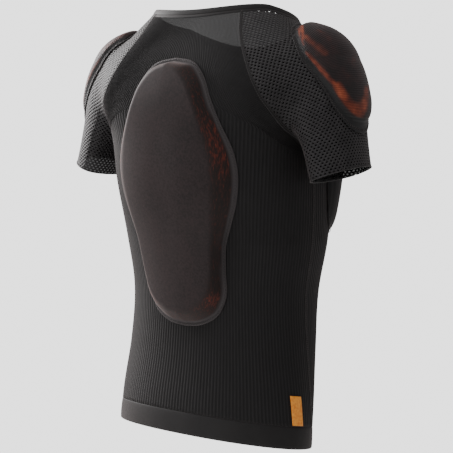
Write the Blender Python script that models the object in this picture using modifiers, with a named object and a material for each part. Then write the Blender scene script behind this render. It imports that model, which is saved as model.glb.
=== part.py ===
"""Padded compression shirt, worn form with nobody inside: metres, +Z up, front faces -Y.

The worn form is two smooth shapes blended together: a trunk, given by oval rings at heights
above the hem, and an upper arm on each side. Every panel is a grid of points found by sending
rays out to that form, so neighbouring panels meet along the same seam lines. Pads, bands and
the tag are made from the same form, moved out.

The origin is the middle of the neck opening, level with the shoulder line that carries the shirt.
"""

import math

import bmesh
import bpy
import numpy as np
from mathutils.bvhtree import BVHTree

# Driving sizes, in metres. Heights are measured up from the middle of the hem.
WALL = 0.0015
SEAM_GAP = 0.0003
ORIGIN_HEIGHT = 0.600
HEM_SLOPE = 0.222
HEM_BAND_HEIGHT = 0.0325
HEM_BAND_PROUD = 0.0006
FLANGE_THICKNESS = 0.0010
NECK_HEIGHT = 0.6160
NECK_SLOPE = 0.255
NECK_DIP = 0.019
NECK_HALF_WIDTH = 0.100
BINDING_HEIGHT = 0.0090
BINDING_THICKNESS = 0.0026
PAD_CLEARANCE = 0.0010
UNDERARM_LIFT = 0.060
ARMHOLE_TILT = 0.030

# Trunk rings: height, half width, depth of the back, depth of the front, squareness back and front.
TRUNK = np.array([
    (-0.040, 0.159, 0.111, -0.071, 2.15, 2.15),
    (0.000, 0.159, 0.111, -0.071, 2.15, 2.15),
    (0.060, 0.156, 0.106, -0.082, 2.20, 2.20),
    (0.140, 0.149, 0.093, -0.099, 2.25, 2.25),
    (0.220, 0.146, 0.089, -0.113, 2.30, 2.30),
    (0.300, 0.156, 0.098, -0.129, 2.40, 2.35),
    (0.380, 0.157, 0.116, -0.139, 2.75, 2.50),
    (0.450, 0.156, 0.121, -0.139, 3.20, 2.40),
    (0.510, 0.163, 0.120, -0.123, 4.20, 2.30),
    (0.560, 0.156, 0.107, -0.105, 3.10, 2.20),
    (0.600, 0.130, 0.086, -0.089, 2.50, 2.10),
    (0.640, 0.095, 0.065, -0.076, 2.10, 2.00),
    (0.680, 0.074, 0.058, -0.069, 2.00, 2.00),
    (0.720, 0.068, 0.056, -0.068, 2.00, 2.00),
])

# Upper arm: distance down from the shoulder joint, reach outward, reach inward, half depth.
ARM = np.array([
    (-0.030, 0.055, 0.055, 0.060),
    (0.000, 0.0645, 0.060, 0.069),
    (0.050, 0.0655, 0.038, 0.069),
    (0.100, 0.0545, 0.021, 0.065),
    (0.150, 0.0460, 0.024, 0.062),
    (0.240, 0.0460, 0.024, 0.062),
])
SHOULDER = np.array([-0.149, 0.000, 0.532])
ARM_OUT_DEG = 20.0
ARM_BACK_DEG = 5.0
CUFF_STATION = 0.147

# How softly trunk and arm run together: underarm and shoulder, and the heights between them.
BLEND_UNDERARM = 0.012
BLEND_SHOULDER = 0.028
BLEND_HEIGHTS = (0.440, 0.520)

# Raglan seams from underarm to neck: degrees round from the centre back or front, height.
# The rows after the first follow the underarm crease itself, at the height found there.
BACK_RAGLAN = np.array([
    (90.0, 0.4330), (82.0, 0.4370), (75.0, 0.4480), (69.5, 0.4550), (65.0, 0.4625), (60.5, 0.4735),
    (56.0, 0.4870), (51.5, 0.5050), (48.5, 0.5290), (47.0, 0.5570), (47.0, 0.5880), (52.0, 0.6250),
])
FRONT_RAGLAN = np.array([
    (90.0, 0.4330), (82.0, 0.4390), (75.0, 0.4470), (70.0, 0.4570), (66.5, 0.4670), (63.5, 0.4780),
    (60.5, 0.4910), (57.5, 0.5070), (55.0, 0.5270), (53.0, 0.5490), (51.5, 0.5690), (51.5, 0.5890),
])
BACK_CREASE_ROWS = 2
FRONT_CREASE_ROWS = 1
CREASE_ROWS = 2
CREASE_SHARES = (0.70, 0.40, 0.12)
PANEL_SAG = 0.09
SLEEVE_SAG = 0.016

# Grid counts.
SIDE_SHARES = (0.0, 0.09, 0.18, 0.27, 0.36, 0.45, 0.54, 0.63, 0.72, 0.81, 0.90, 0.975)
SIDE_ROWS = len(SIDE_SHARES)
RAGLAN_ROWS = len(BACK_RAGLAN) - 1
PANEL_COLUMNS = 22
SLEEVE_COLUMNS = 26
UNDERARM_SHARES = (0.08, 0.32, 0.56, 0.78, 1.0)
RING_COLUMNS = 36
EDGE_STRIP = 0.022
SEAM_STRIP = 0.0014
CORNER_GAP = 0.0005

# Back pad outline: height, half width of its footprint with the stitched flange.
BACK_PAD = np.array([
    (0.178, 0.000), (0.182, 0.028), (0.196, 0.052), (0.222, 0.065), (0.262, 0.067),
    (0.300, 0.071), (0.330, 0.082), (0.360, 0.093), (0.395, 0.099), (0.430, 0.095),
    (0.465, 0.081), (0.500, 0.066), (0.530, 0.052), (0.549, 0.034), (0.557, 0.000),
])
BACK_PAD_SPINE = (0.245, 0.490)
BACK_PAD_THICKNESS = 0.024
BACK_PAD_FLANGE = 0.006

# Chest pad outline: height, degrees round from the centre front.
CHEST_PAD = np.array([
    (0.293, 0.0), (0.296, 36.0), (0.303, 59.0), (0.319, 71.0), (0.353, 74.5), (0.390, 74.5),
    (0.419, 68.0), (0.438, 55.0), (0.455, 34.0), (0.460, 0.0),
])
CHEST_PAD_SPINE = (0.365, 0.420)
CHEST_METRES_PER_DEGREE = 0.0022
CHEST_CLEARANCE = 0.0024
CHEST_PAD_THICKNESS = 0.017
CHEST_PAD_FLANGE = 0.004

# Shoulder pad outline: degrees of elevation seen from its centre, half width in degrees.
SHOULDER_PAD = np.array([
    (-33.0, 0.0), (-31.0, 14.0), (-22.0, 29.0), (-5.0, 41.0), (20.0, 50.0),
    (45.0, 52.0), (70.0, 48.0), (90.0, 38.0), (103.0, 23.0), (108.0, 0.0),
])
SHOULDER_PAD_SPINE = (10.0, 65.0)
SHOULDER_PAD_CENTRE = np.array([-0.155, 0.006, 0.520])
SHOULDER_PAD_THICKNESS = 0.0075
SHOULDER_PAD_FLANGE = 0.007
SHOULDER_PAD_CLEARANCE = 0.0014

# Hem tag on the wearer's right: degrees round from the centre back, heights, thickness.
TAG_ANGLES = (73.5, 80.5)
TAG_HEIGHTS = (0.0345, 0.0765)
TAG_THICKNESS = 0.0008

COLOURS = {
    "rib_knit": ((0.022, 0.020, 0.021), 0.85),
    "sleeve_mesh": ((0.030, 0.028, 0.029), 0.80),
    "band_knit": ((0.027, 0.025, 0.026), 0.80),
    "pad_cover": ((0.034, 0.028, 0.029), 0.75),
    "shoulder_cover": ((0.060, 0.020, 0.012), 0.70),
    "woven_tag": ((0.800, 0.240, 0.020), 0.60),
}


def smooth_rows(table, at):
    """Each column of a table as a smooth curve through its rows, read at the values in at."""
    x, y = table[:, 0], table[:, 1:]
    step = np.diff(x)
    rise = np.diff(y, axis=0) / step[:, None]
    slope = np.zeros_like(y)
    slope[0], slope[-1] = rise[0], rise[-1]
    before, after = step[:-1, None], step[1:, None]
    slope[1:-1] = (rise[:-1] * after + rise[1:] * before) / (before + after)
    q = np.clip(np.asarray(at, float), x[0], x[-1])
    i = np.clip(np.searchsorted(x, q, side="right") - 1, 0, len(x) - 2)
    t = ((q - x[i]) / step[i])[..., None]
    h = step[i][..., None]
    start = (2 * t**3 - 3 * t**2 + 1) * y[i] + (t**3 - 2 * t**2 + t) * h * slope[i]
    end = (3 * t**2 - 2 * t**3) * y[i + 1] + (t**3 - t**2) * h * slope[i + 1]
    return start + end


def unit(v):
    return v / np.linalg.norm(v, axis=-1, keepdims=True)


def trunk_distance(p):
    """Rough distance outside the trunk's rings, negative inside."""
    half, back, front, back_power, front_power = np.moveaxis(smooth_rows(TRUNK, p[..., 2]), -1, 0)
    middle = 0.5 * (back + front)
    depth = 0.5 * (back - front)
    power = np.where(p[..., 1] > middle, back_power, front_power)
    across = np.abs(p[..., 0]) / half
    along = np.abs(p[..., 1] - middle) / depth
    size = (across**power + along**power) ** (1 / power) + 1e-9
    flat = np.hypot(p[..., 0], p[..., 1] - middle)
    nearby = 0.004
    above = smooth_rows(TRUNK, p[..., 2] + nearby)[..., 0]
    below = smooth_rows(TRUNK, p[..., 2] - nearby)[..., 0]
    lean = (above - below) / (2 * nearby)
    return flat * (1 - 1 / size) / np.sqrt(1 + lean**2)


def arm_direction():
    """The right arm's way down and out, leaning a little back."""
    out, back = math.radians(ARM_OUT_DEG), math.radians(ARM_BACK_DEG)
    return np.array([-math.sin(out) * math.cos(back), math.sin(back), -math.cos(out) * math.cos(back)])


def arm_distance(p):
    """Rough distance outside the nearer upper arm, negative inside."""
    along = arm_direction()
    q = np.stack([-np.abs(p[..., 0]), p[..., 1], p[..., 2]], -1) - SHOULDER
    station = np.clip(q @ along, 0.0, None)
    outer, inner, deep = np.moveaxis(smooth_rows(ARM, station), -1, 0)
    off = q - station[..., None] * along
    sideways = np.sqrt(np.maximum((off**2).sum(-1) - off[..., 1] ** 2, 0))
    across = np.where(off[..., 0] < 0, outer, inner)
    size = np.hypot(sideways / across, off[..., 1] / deep) + 1e-9
    return np.sqrt((off**2).sum(-1)) * (1 - 1 / size)


def form_distance(p):
    """The trunk and both arms as one smooth shape."""
    trunk, arm = trunk_distance(p), arm_distance(p)
    low, high = BLEND_HEIGHTS
    up = np.clip((p[..., 2] - low) / (high - low), 0, 1)
    blend = BLEND_UNDERARM + (BLEND_SHOULDER - BLEND_UNDERARM) * up * up * (3 - 2 * up)
    share = np.clip(0.5 + 0.5 * (arm - trunk) / blend, 0, 1)
    return arm + (trunk - arm) * share - blend * share * (1 - share)


def form_normal(p):
    """Outward direction of the form at points on it."""
    nearby = 0.0008
    steps = nearby * np.eye(3)
    slope = [form_distance(p + s) - form_distance(p - s) for s in steps]
    return unit(np.stack(slope, -1))


def cast(origin, direction, reach=0.30, steps=150):
    """Where rays first leave the form: marched in equal steps, then halved."""
    direction = unit(np.asarray(direction, float))
    origin = np.broadcast_to(origin, direction.shape)
    t = np.linspace(0, reach, steps)
    marks = origin[..., None, :] + direction[..., None, :] * t[:, None]
    outside = form_distance(marks) > 0
    outside[..., 0] = False
    first = np.where(outside.any(-1), outside.argmax(-1), steps - 1)
    low, high = t[first - 1], t[first]
    for _ in range(26):
        half = 0.5 * (low + high)
        inside = form_distance(origin + direction * half[..., None]) <= 0
        low, high = np.where(inside, half, low), np.where(inside, high, half)
    return origin + direction * (0.5 * (low + high))[..., None]


def round_direction(angle, rise):
    """Direction at an angle round from the centre back towards the wearer's right, rising by rise."""
    return np.stack([-np.sin(angle), np.cos(angle), rise + 0 * angle], -1)


def axis_point(height):
    return np.stack([0 * height, 0 * height, height], -1)


def neck_level(x, y):
    """Height of the neck edge: highest at the sides, dipping at the back and more at the front."""
    aside = np.minimum(1.0, (x / NECK_HALF_WIDTH) ** 2)
    return NECK_HEIGHT + NECK_SLOPE * y - NECK_DIP * (1 - aside)


def neck_slopes():
    """Slopes of the rays that meet the neck edge, found by repeated correction, centre back to front."""
    angle = np.linspace(0, math.pi, 121)
    rise = 0 * angle
    for _ in range(40):
        p = cast(axis_point(NECK_ORIGIN + 0 * angle), round_direction(angle, rise))
        wanted = (neck_level(p[..., 0], p[..., 1]) - NECK_ORIGIN) / np.hypot(p[..., 0], p[..., 1])
        rise = 0.6 * rise + 0.4 * wanted
    return angle, rise


def neck_rise(angle):
    """Slope of the ray that meets the neck edge at each angle round from the centre back."""
    folded = np.abs((angle + math.pi) % (2 * math.pi) - math.pi)
    return np.interp(folded, *NECK_SLOPES)


def find_underarm():
    """The top of the hollow between trunk and right sleeve, in the upright plane through both."""
    across = np.linspace(-0.215, -0.135, 321)
    heights = np.linspace(0.36, 0.52, 641)
    x, z = np.meshgrid(across, heights)
    arm_x = SHOULDER[0] + (z - SHOULDER[2]) * arm_direction()[0] / arm_direction()[2]
    hollow = (form_distance(np.stack([x, 0 * x, z], -1)) > 0) & (x > arm_x)
    top = np.where(hollow.any(1))[0].max()
    return np.array([x[top][hollow[top]].mean(), 0.0, z[top, 0]])


NECK_ORIGIN = NECK_HEIGHT - 0.030
NECK_SLOPES = neck_slopes()
UNDERARM = find_underarm()
UNDERARM_ORIGIN = UNDERARM[2] + UNDERARM_LIFT
UNDERARM_RISE = UNDERARM_LIFT / UNDERARM[0]


def sag(inward):
    """A dip close to a seam that fades inward, so that rows leave the underarm at a clear angle."""
    return np.clip(1 - inward, 0, 1)**6 * inward / 0.0567


def side_row(share, centre, spread):
    """A row below the armpit: share 0 is the hem band's top edge, 1 the underarm."""
    angle = centre + spread * 0.5 * math.pi
    rise = HEM_SLOPE * np.cos(angle) * (1 - share) + UNDERARM_RISE * np.abs(np.sin(angle))**3 * share**1.5
    rise = rise - PANEL_SAG * share**4 * sag(1 - np.abs(spread))
    height = HEM_BAND_HEIGHT + share * (UNDERARM_ORIGIN - HEM_BAND_HEIGHT)
    return cast(axis_point(height + 0 * angle), round_direction(angle, rise))


def usual_rise(share, angle):
    """Slope of the rays above the armpit: share 0 is the underarm, 1 the neck edge."""
    return UNDERARM_RISE * np.abs(np.sin(angle))**3 * (1 - share) + neck_rise(angle) * share


def crease_aim(angle, origin):
    """The highest slope at which a ray still meets the trunk below the crease round the underarm."""
    aims = np.linspace(-0.60, 0.10, 701)
    p = cast(axis_point(origin + 0 * aims), round_direction(angle + 0 * aims, aims))
    jumps = np.diff(np.hypot(p[:, 0], p[:, 1])) > 0.004
    return aims[np.argmax(jumps)] if jumps.any() else None


def seam_plan(table, centre, crease_rows):
    """Everything a raglan row needs: share, ray origin, half angle and slope towards its seam point."""
    climbed = (table[:, 1] - table[0, 1]) / (table[-1, 1] - table[0, 1])
    share = 0.4 * np.linspace(0, 1, len(table)) + 0.6 * climbed
    origin = UNDERARM_ORIGIN + share * (NECK_ORIGIN - UNDERARM_ORIGIN)
    half = np.radians(table[:, 0])
    aim = (table[:, 1] - origin) / 0.15
    for _ in range(30):
        p = cast(axis_point(origin), round_direction(centre + half, aim))
        aim = 0.5 * aim + 0.5 * (table[:, 1] - origin) / np.hypot(p[:, 0], p[:, 1])
    for row in range(1, crease_rows + 1):
        aim[row] = crease_aim(centre + half[row], origin[row]) or aim[row]
    usual = np.array([usual_rise(k, centre + h) for k, h in zip(share, half)])
    extra = aim - usual
    extra[0] = extra[-1] = 0.0
    return centre, share, origin, half, extra


def raglan_row(plan, row, spread):
    """A row above the armpit: row 0 is the underarm and the last row the neck edge."""
    centre, share, origin, half, extra = plan
    angle = centre + spread * half[row]
    rise = usual_rise(share[row], angle) + extra[row] * np.abs(spread)**2
    rise = rise - PANEL_SAG * max(0, 1 - row / 8) * sag(1 - np.abs(spread))
    return cast(axis_point(origin[row] + 0 * angle), round_direction(angle, rise))


def edge_spread(count, crowding=0.0):
    """Positions from -1 to 1 with a narrow strip at each end, and crowded towards the ends if asked."""
    inner = np.linspace(-1, 1, count - 1)
    inner = inner * (1 + crowding * (1 - inner**2)) * (1 - EDGE_STRIP)
    return np.concatenate([[-1.0], inner, [1.0]])


def panel_grid(plan):
    """Rows from the hem band to the neck, columns from seam to seam, closer where the sides turn."""
    spread = edge_spread(PANEL_COLUMNS, 0.25)
    side = [side_row(share, plan[0], spread) for share in SIDE_SHARES]
    upper = [raglan_row(plan, row, spread) for row in range(RAGLAN_ROWS + 1)]
    return np.array(side + upper)


def settle(points):
    """Points moved onto the form along its own outward direction."""
    for _ in range(14):
        points = points - form_normal(points) * form_distance(points)[..., None]
    return points


def inset_edges(grid, corner):
    """The grid with half a seam gap taken off its outer edges, and a flat strip beside each side seam.

    Both strips of a seam lie in the form's tangent plane, so the two walls meet squarely. The
    corner row, where three seams meet underarm, takes the mean of the rows beside it.
    """

    def inward(edge, inner):
        along = unit(np.gradient(edge, axis=0))
        across = unit(np.cross(form_normal(edge), along))
        return across * np.sign(((inner - edge) * across).sum(-1, keepdims=True))

    def side_inward(edge, inner):
        way = inward(edge, inner)
        way[corner] = unit(way[corner - 1] + way[corner + 1])
        return way

    half_gap = 0.5 * SEAM_GAP + 0.00003
    out = grid.copy()
    left, right = side_inward(grid[:, 0], grid[:, 2]), side_inward(grid[:, -1], grid[:, -3])
    bottom, top = inward(grid[0], grid[1]), inward(grid[-1], grid[-2])
    out[:, 1] = settle(grid[:, 0] + left * SEAM_STRIP)
    out[:, -2] = settle(grid[:, -1] + right * SEAM_STRIP)
    out[:, 0] += left * half_gap
    out[:, -1] += right * half_gap
    out[corner, 0] += left[corner] * CORNER_GAP
    out[corner, -1] += right[corner] * CORNER_GAP
    out[0] += bottom * half_gap
    out[-1] += top * half_gap
    return out


def plane_ring(centre, outward, edge_hint, sweep_from, sweep_to, count, ends=None):
    """Points of the form round a centre, in the plane of outward and edge_hint, evenly along the cloth."""
    e1 = unit(outward)
    e2 = unit(edge_hint - (edge_hint @ e1) * e1)
    turn = np.linspace(sweep_from, sweep_to, 6 * count + 1)
    direction = np.cos(turn)[:, None] * e1 + np.sin(turn)[:, None] * e2
    fine = cast(centre + 0 * direction, direction, reach=0.16)
    if ends:
        fine[0], fine[-1] = ends
    length = np.concatenate([[0], np.cumsum(np.linalg.norm(np.diff(fine, axis=0), axis=-1))])
    wanted = 0.5 * (edge_spread(count) + 1) * length[-1]
    return np.stack([np.interp(wanted, length, fine[:, k]) for k in range(3)], -1)


def trunk_neck_side():
    """Where the neck edge passes over the shoulder line."""
    angle = np.array([0.5 * math.pi])
    return cast(axis_point(NECK_ORIGIN + 0 * angle), round_direction(angle, neck_rise(angle)))[0]


def arm_point(station):
    return SHOULDER + arm_direction() * station


def row_between(first, last, share, back, front):
    """A row part way between two others, its ends drawn to the seam points."""
    row = first + (last - first) * share
    fade = np.clip(1 - np.arange(len(row)) / 5, 0, 1)[:, None] ** 2
    row = settle(row + fade * (back - row[0]) + fade[::-1] * (front - row[-1]))
    row[0], row[-1] = back, front
    return row


def sleeve_grid(back_plan, front_plan):
    """The right sleeve: rows from neck to cuff, columns from the back seam over the top to the front."""
    pivot = np.array([-0.100, 0.0, 0.490])
    down_arm = arm_direction()
    outward = unit(np.cross(down_arm, np.array([0.0, 1.0, 0.0])))
    outward = outward * np.sign(-outward[0])
    front_to_back = np.array([0.0, 1.0, 0.0])
    station = float((UNDERARM - SHOULDER) @ down_arm)
    ends = np.array([trunk_neck_side(), cast(arm_point(station - ARMHOLE_TILT), outward)])
    low, high = np.arctan2(ends[:, 2] - pivot[2], pivot[0] - ends[:, 0])[::-1]
    edge = np.array([1.0])
    rows = []
    for row in range(RAGLAN_ROWS, -1, -1):
        turn = low + (high - low) * (row / RAGLAN_ROWS) ** 0.95
        top = cast(pivot, np.array([-math.cos(turn), 0.0, math.sin(turn)]))
        back = raglan_row(back_plan, row, edge)[0]
        front = raglan_row(front_plan, row, -edge)[0]
        if row == 0:
            across, sweep = front_to_back, (math.pi, -math.pi)
        else:
            across = back - front
        centre = 0.5 * (0.5 * (back + front) + top)
        out = unit(top - centre)
        if row > 0:
            level = unit(across - (across @ out) * out)
            sweep = [math.atan2((p - centre) @ level, (p - centre) @ out) for p in (back, front)]
        rows.append(plane_ring(centre, out, across, *sweep, SLEEVE_COLUMNS, (back, front)))
    for share in UNDERARM_SHARES:
        place = centre + (arm_point(CUFF_STATION) - centre) * share
        tilt = unit(out * (1 - share) + outward * share)
        rows.append(plane_ring(place, tilt, front_to_back, math.pi, -math.pi, SLEEVE_COLUMNS))
    above, below = rows[RAGLAN_ROWS - CREASE_ROWS - 1], rows[RAGLAN_ROWS + 1]
    for row, share in zip(range(RAGLAN_ROWS - CREASE_ROWS, RAGLAN_ROWS + 1), CREASE_SHARES):
        rows[row] = row_between(below, above, share, rows[row][0], rows[row][-1])
    fine_edge = 1 - np.abs(edge_spread(SLEEVE_COLUMNS))
    for row in range(RAGLAN_ROWS - 4, len(rows) - 1):
        away = abs(row - RAGLAN_ROWS) / 5
        ends = rows[row][0], rows[row][-1]
        lower = SLEEVE_SAG * (1 - away) * sag(fine_edge)
        rows[row] = settle(rows[row] + lower[:, None] * down_arm)
        rows[row][0], rows[row][-1] = ends
    return np.array(rows)


def lowered(points):
    """Heights above the hem turned into the part's own frame."""
    return points - np.array([0.0, 0.0, ORIGIN_HEIGHT])


def mesh_object(name, slot, points, faces, merge=1e-6):
    """A named object from arrays of points and faces, with doubled points made one."""
    shape = bmesh.new()
    for p in lowered(points.reshape(-1, 3)):
        shape.verts.new(p)
    shape.verts.ensure_lookup_table()
    for face in faces:
        shape.faces.new([shape.verts[i] for i in face])
    bmesh.ops.remove_doubles(shape, verts=shape.verts, dist=merge)
    bmesh.ops.dissolve_degenerate(shape, edges=shape.edges, dist=merge)
    bmesh.ops.recalc_face_normals(shape, faces=shape.faces)
    mesh = bpy.data.meshes.new(name)
    shape.to_mesh(mesh)
    shape.free()
    mesh.shade_smooth()
    mesh.materials.append(bpy.data.materials[slot])
    made = bpy.data.objects.new(name, mesh)
    bpy.data.collections["padded_shirt"].objects.link(made)
    return made


def grid_faces(rows, columns, closed=False, first=0):
    """Quads between neighbouring rows and columns of a grid of points."""
    width = columns if closed else columns - 1
    return [
        (first + r * columns + c, first + r * columns + (c + 1) % columns,
         first + (r + 1) * columns + (c + 1) % columns, first + (r + 1) * columns + c)
        for r in range(rows - 1) for c in range(width)
    ]


def face_outward(made):
    """Turns an open cloth surface so that its faces look away from the wearer."""
    mesh = made.data
    shift = np.array([0.0, 0.0, ORIGIN_HEIGHT])
    centres = np.array([tuple(f.center) for f in mesh.polygons]) + shift
    normals = np.array([tuple(f.normal) for f in mesh.polygons])
    if (form_normal(centres) * normals).sum() < 0:
        mesh.flip_normals()


def cloth(name, slot, grid, closed=False, thickness=WALL):
    """A cloth wall: an open surface of grid points, thickened towards the wearer."""
    rows, columns = grid.shape[:2]
    made = mesh_object(name, slot, grid, grid_faces(rows, columns, closed))
    face_outward(made)
    wall = made.modifiers.new("wall", "SOLIDIFY")
    wall.thickness = thickness
    wall.offset = -1.0
    wall.use_quality_normals = True
    return made


def mirrored(name, slot, grid):
    """The same cloth on the wearer's left."""
    return cloth(name, slot, grid * np.array([-1.0, 1.0, 1.0]))


def hem_band():
    """A knitted band round the hem, a little proud of the panels."""
    angle = np.linspace(0, 2 * math.pi, RING_COLUMNS, endpoint=False)
    top = HEM_BAND_HEIGHT - SEAM_GAP
    rows = []
    for height in (0.0, 0.15 * top, 0.5 * top, 0.85 * top, top):
        start = axis_point(height + 0 * angle)
        rows.append(cast(start, round_direction(angle, HEM_SLOPE * np.cos(angle))))
    grid = np.array(rows)
    grid = grid + form_normal(grid) * HEM_BAND_PROUD
    return cloth("hem_band", "band_knit", grid, closed=True, thickness=WALL + HEM_BAND_PROUD)


def neck_binding():
    """A folded binding that stands on the neck edge: a rounded section carried round the neck."""
    angle = np.linspace(0, 2 * math.pi, RING_COLUMNS, endpoint=False)
    edge = cast(axis_point(NECK_ORIGIN + 0 * angle), round_direction(angle, neck_rise(angle)))
    normal = form_normal(edge)
    ahead = unit(np.roll(edge, -1, axis=0) - np.roll(edge, 1, axis=0))
    up = unit(np.cross(normal, ahead))
    up = np.where((up[:, 2] < 0)[:, None], -up, up)
    up = unit(up + np.array([0.0, 0.0, 0.35]))
    out = unit(np.cross(ahead, up))
    out = np.where(((out * normal).sum(-1) < 0)[:, None], -out, out)
    turn = np.linspace(0, 2 * math.pi, 10, endpoint=False)
    high = np.sign(np.sin(turn)) * np.abs(np.sin(turn)) ** 0.7 * 0.5 * BINDING_HEIGHT
    wide = np.sign(np.cos(turn)) * np.abs(np.cos(turn)) ** 0.7 * 0.5 * BINDING_THICKNESS
    middle = edge - out * 0.5 * WALL + up * (0.5 * BINDING_HEIGHT + 2.5 * SEAM_GAP)
    grid = middle[:, None] + high[None, :, None] * up[:, None] + wide[None, :, None] * out[:, None]
    stations, sides = grid.shape[:2]
    faces = [
        (a * sides + b, a * sides + (b + 1) % sides,
         (a + 1) % stations * sides + (b + 1) % sides, (a + 1) % stations * sides + b)
        for a in range(stations) for b in range(sides)
    ]
    return mesh_object("neck_binding", "band_knit", grid, faces)


def pad_plan(table, spine, rows, rings, width_unit=1.0):
    """Flat plan of a pad: outline points from bottom to top, evenly apart, joined to its spine.

    Gives, for every row and every place across, the distance along the pad, the distance to the
    side as the outline measures it, and how far in from the outline the place is, 0 to 1.
    """
    apart = np.hypot(np.diff(table[:, 0]), width_unit * np.diff(table[:, 1]))
    walked = np.concatenate([[0.0], np.cumsum(apart)])
    outline = smooth_rows(np.column_stack([walked, table]), np.linspace(0, walked[-1], rows))
    along, half = outline[:, 0], np.maximum(outline[:, 1], 0.0)
    centre = np.clip(along, *spine)
    across = np.concatenate([-np.array(rings), np.array(rings)[::-1][1:]])
    inward = np.abs(across)
    length = centre[:, None] + (along - centre)[:, None] * inward
    side = half[:, None] * across
    return length, side, inward


def pad_solid(name, slot, place, plan, reach, thickness, flange, clearance=PAD_CLEARANCE):
    """A pad in its stitched pocket: flat flange, rounded rise, crowned top, over the cloth it lies on."""
    length, side, inward = plan
    base = place(length, side)
    normal = form_normal(base)
    depth = (1 - inward) * reach
    rise = np.clip((depth - flange) / (0.95 * thickness + 0.003), 0, 1)
    crown = 1 + 0.10 * np.clip((depth - flange) / (reach - flange), 0, 1)
    height = FLANGE_THICKNESS + (thickness - FLANGE_THICKNESS) * np.sqrt(1 - (1 - rise) ** 2) * crown / 1.10
    lower = base + normal * clearance
    upper = base + normal * (clearance + height[..., None])
    rows, columns = base.shape[:2]
    count = rows * columns
    faces = grid_faces(rows, columns) + [f[::-1] for f in grid_faces(rows, columns, first=count)]
    for r in range(rows - 1):
        for c in (0, columns - 1):
            a, b = r * columns + c, (r + 1) * columns + c
            faces.append((a, b, b + count, a + count))
    return mesh_object(name, slot, np.concatenate([upper.reshape(-1, 3), lower.reshape(-1, 3)]), faces)


def landing(grid):
    """A function that lands rays on a panel's own faces, so that what lies on it follows them."""
    rows, columns = grid.shape[:2]
    tree = BVHTree.FromPolygons(grid.reshape(-1, 3).tolist(), grid_faces(rows, columns))

    def land(start, direction):
        start = np.broadcast_to(start, direction.shape)
        hits = [tree.ray_cast(tuple(p), tuple(d))[0]
                for p, d in zip(start.reshape(-1, 3), direction.reshape(-1, 3))]
        return np.array([tuple(h) for h in hits]).reshape(direction.shape)

    return land


def back_pad(panel):
    land = landing(panel)

    def place(length, side):
        """On the back at a height and a distance to the right of the spine."""
        start = np.stack([-side, 0 * side, length], -1)
        return land(start, np.broadcast_to([0.0, 1.0, 0.0], start.shape))

    plan = pad_plan(BACK_PAD, BACK_PAD_SPINE, 29, (1.0, 0.93, 0.89, 0.82, 0.74, 0.60, 0.45, 0.30, 0.15, 0.0))
    pad_solid("back_pad", "pad_cover", place, plan, 0.085, BACK_PAD_THICKNESS, BACK_PAD_FLANGE)


def chest_pad(panel):
    land = landing(panel)

    def place(length, side):
        """On the chest at a height and an angle round from the centre front."""
        return land(axis_point(length), round_direction(math.pi - np.radians(side), 0.0))

    rings = (1.0, 0.95, 0.90, 0.82, 0.73, 0.64, 0.54, 0.43, 0.30, 0.15, 0.0)
    plan = pad_plan(CHEST_PAD, CHEST_PAD_SPINE, 21, rings, CHEST_METRES_PER_DEGREE)
    sizes = (0.095, CHEST_PAD_THICKNESS, CHEST_PAD_FLANGE, CHEST_CLEARANCE)
    pad_solid("chest_pad", "pad_cover", place, plan, *sizes)


def shoulder_pads(sleeve):
    land = landing(sleeve)

    def right(length, side):
        """On the right shoulder, seen from its centre at an elevation and an angle to the back."""
        lift, turn = np.radians(length), np.radians(side)
        direction = np.stack(
            [-np.cos(lift) * np.cos(turn), np.sin(turn), np.sin(lift) * np.cos(turn)], -1)
        return land(SHOULDER_PAD_CENTRE, direction)

    def left(length, side):
        return right(length, side) * np.array([-1.0, 1.0, 1.0])

    plan = pad_plan(SHOULDER_PAD, SHOULDER_PAD_SPINE, 17, (1.0, 0.87, 0.82, 0.68, 0.51, 0.34, 0.17, 0.0))
    sizes = (0.055, SHOULDER_PAD_THICKNESS, SHOULDER_PAD_FLANGE, SHOULDER_PAD_CLEARANCE)
    pad_solid("shoulder_pad_right", "shoulder_cover", right, plan, *sizes)
    pad_solid("shoulder_pad_left", "shoulder_cover", left, plan, *sizes)


def hem_tag(panel):
    """A small folded label on the right side, just above the hem band."""
    land = landing(panel)
    angle = np.radians(np.linspace(*TAG_ANGLES, 3))
    rows = [land(axis_point(height + 0 * angle), round_direction(angle, HEM_SLOPE * np.cos(angle)))
            for height in np.linspace(*TAG_HEIGHTS, 5)]
    grid = np.array(rows)
    grid = grid + form_normal(grid) * (PAD_CLEARANCE + TAG_THICKNESS)
    cloth("hem_tag", "woven_tag", grid, thickness=TAG_THICKNESS)


def make_materials():
    for slot, (colour, roughness) in COLOURS.items():
        material = bpy.data.materials.new(slot)
        material.use_nodes = True
        shader = material.node_tree.nodes["Principled BSDF"]
        shader.inputs["Base Color"].default_value = (*colour, 1.0)
        shader.inputs["Roughness"].default_value = roughness
        shader.inputs["Metallic"].default_value = 0.0


def main():
    for made in list(bpy.data.objects):
        bpy.data.objects.remove(made)
    shirt = bpy.data.collections.new("padded_shirt")
    bpy.context.scene.collection.children.link(shirt)
    make_materials()
    plans = (seam_plan(BACK_RAGLAN, 0.0, BACK_CREASE_ROWS),
             seam_plan(FRONT_RAGLAN, math.pi, FRONT_CREASE_ROWS))
    back, front = [inset_edges(panel_grid(plan), SIDE_ROWS) for plan in plans]
    sleeve = inset_edges(sleeve_grid(*plans), RAGLAN_ROWS)
    cloth("back_panel", "rib_knit", back)
    cloth("front_panel", "rib_knit", front)
    cloth("sleeve_right", "sleeve_mesh", sleeve)
    mirrored("sleeve_left", "sleeve_mesh", sleeve)
    hem_band()
    neck_binding()
    back_pad(back)
    chest_pad(front)
    shoulder_pads(sleeve)
    hem_tag(back)


main()
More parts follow.
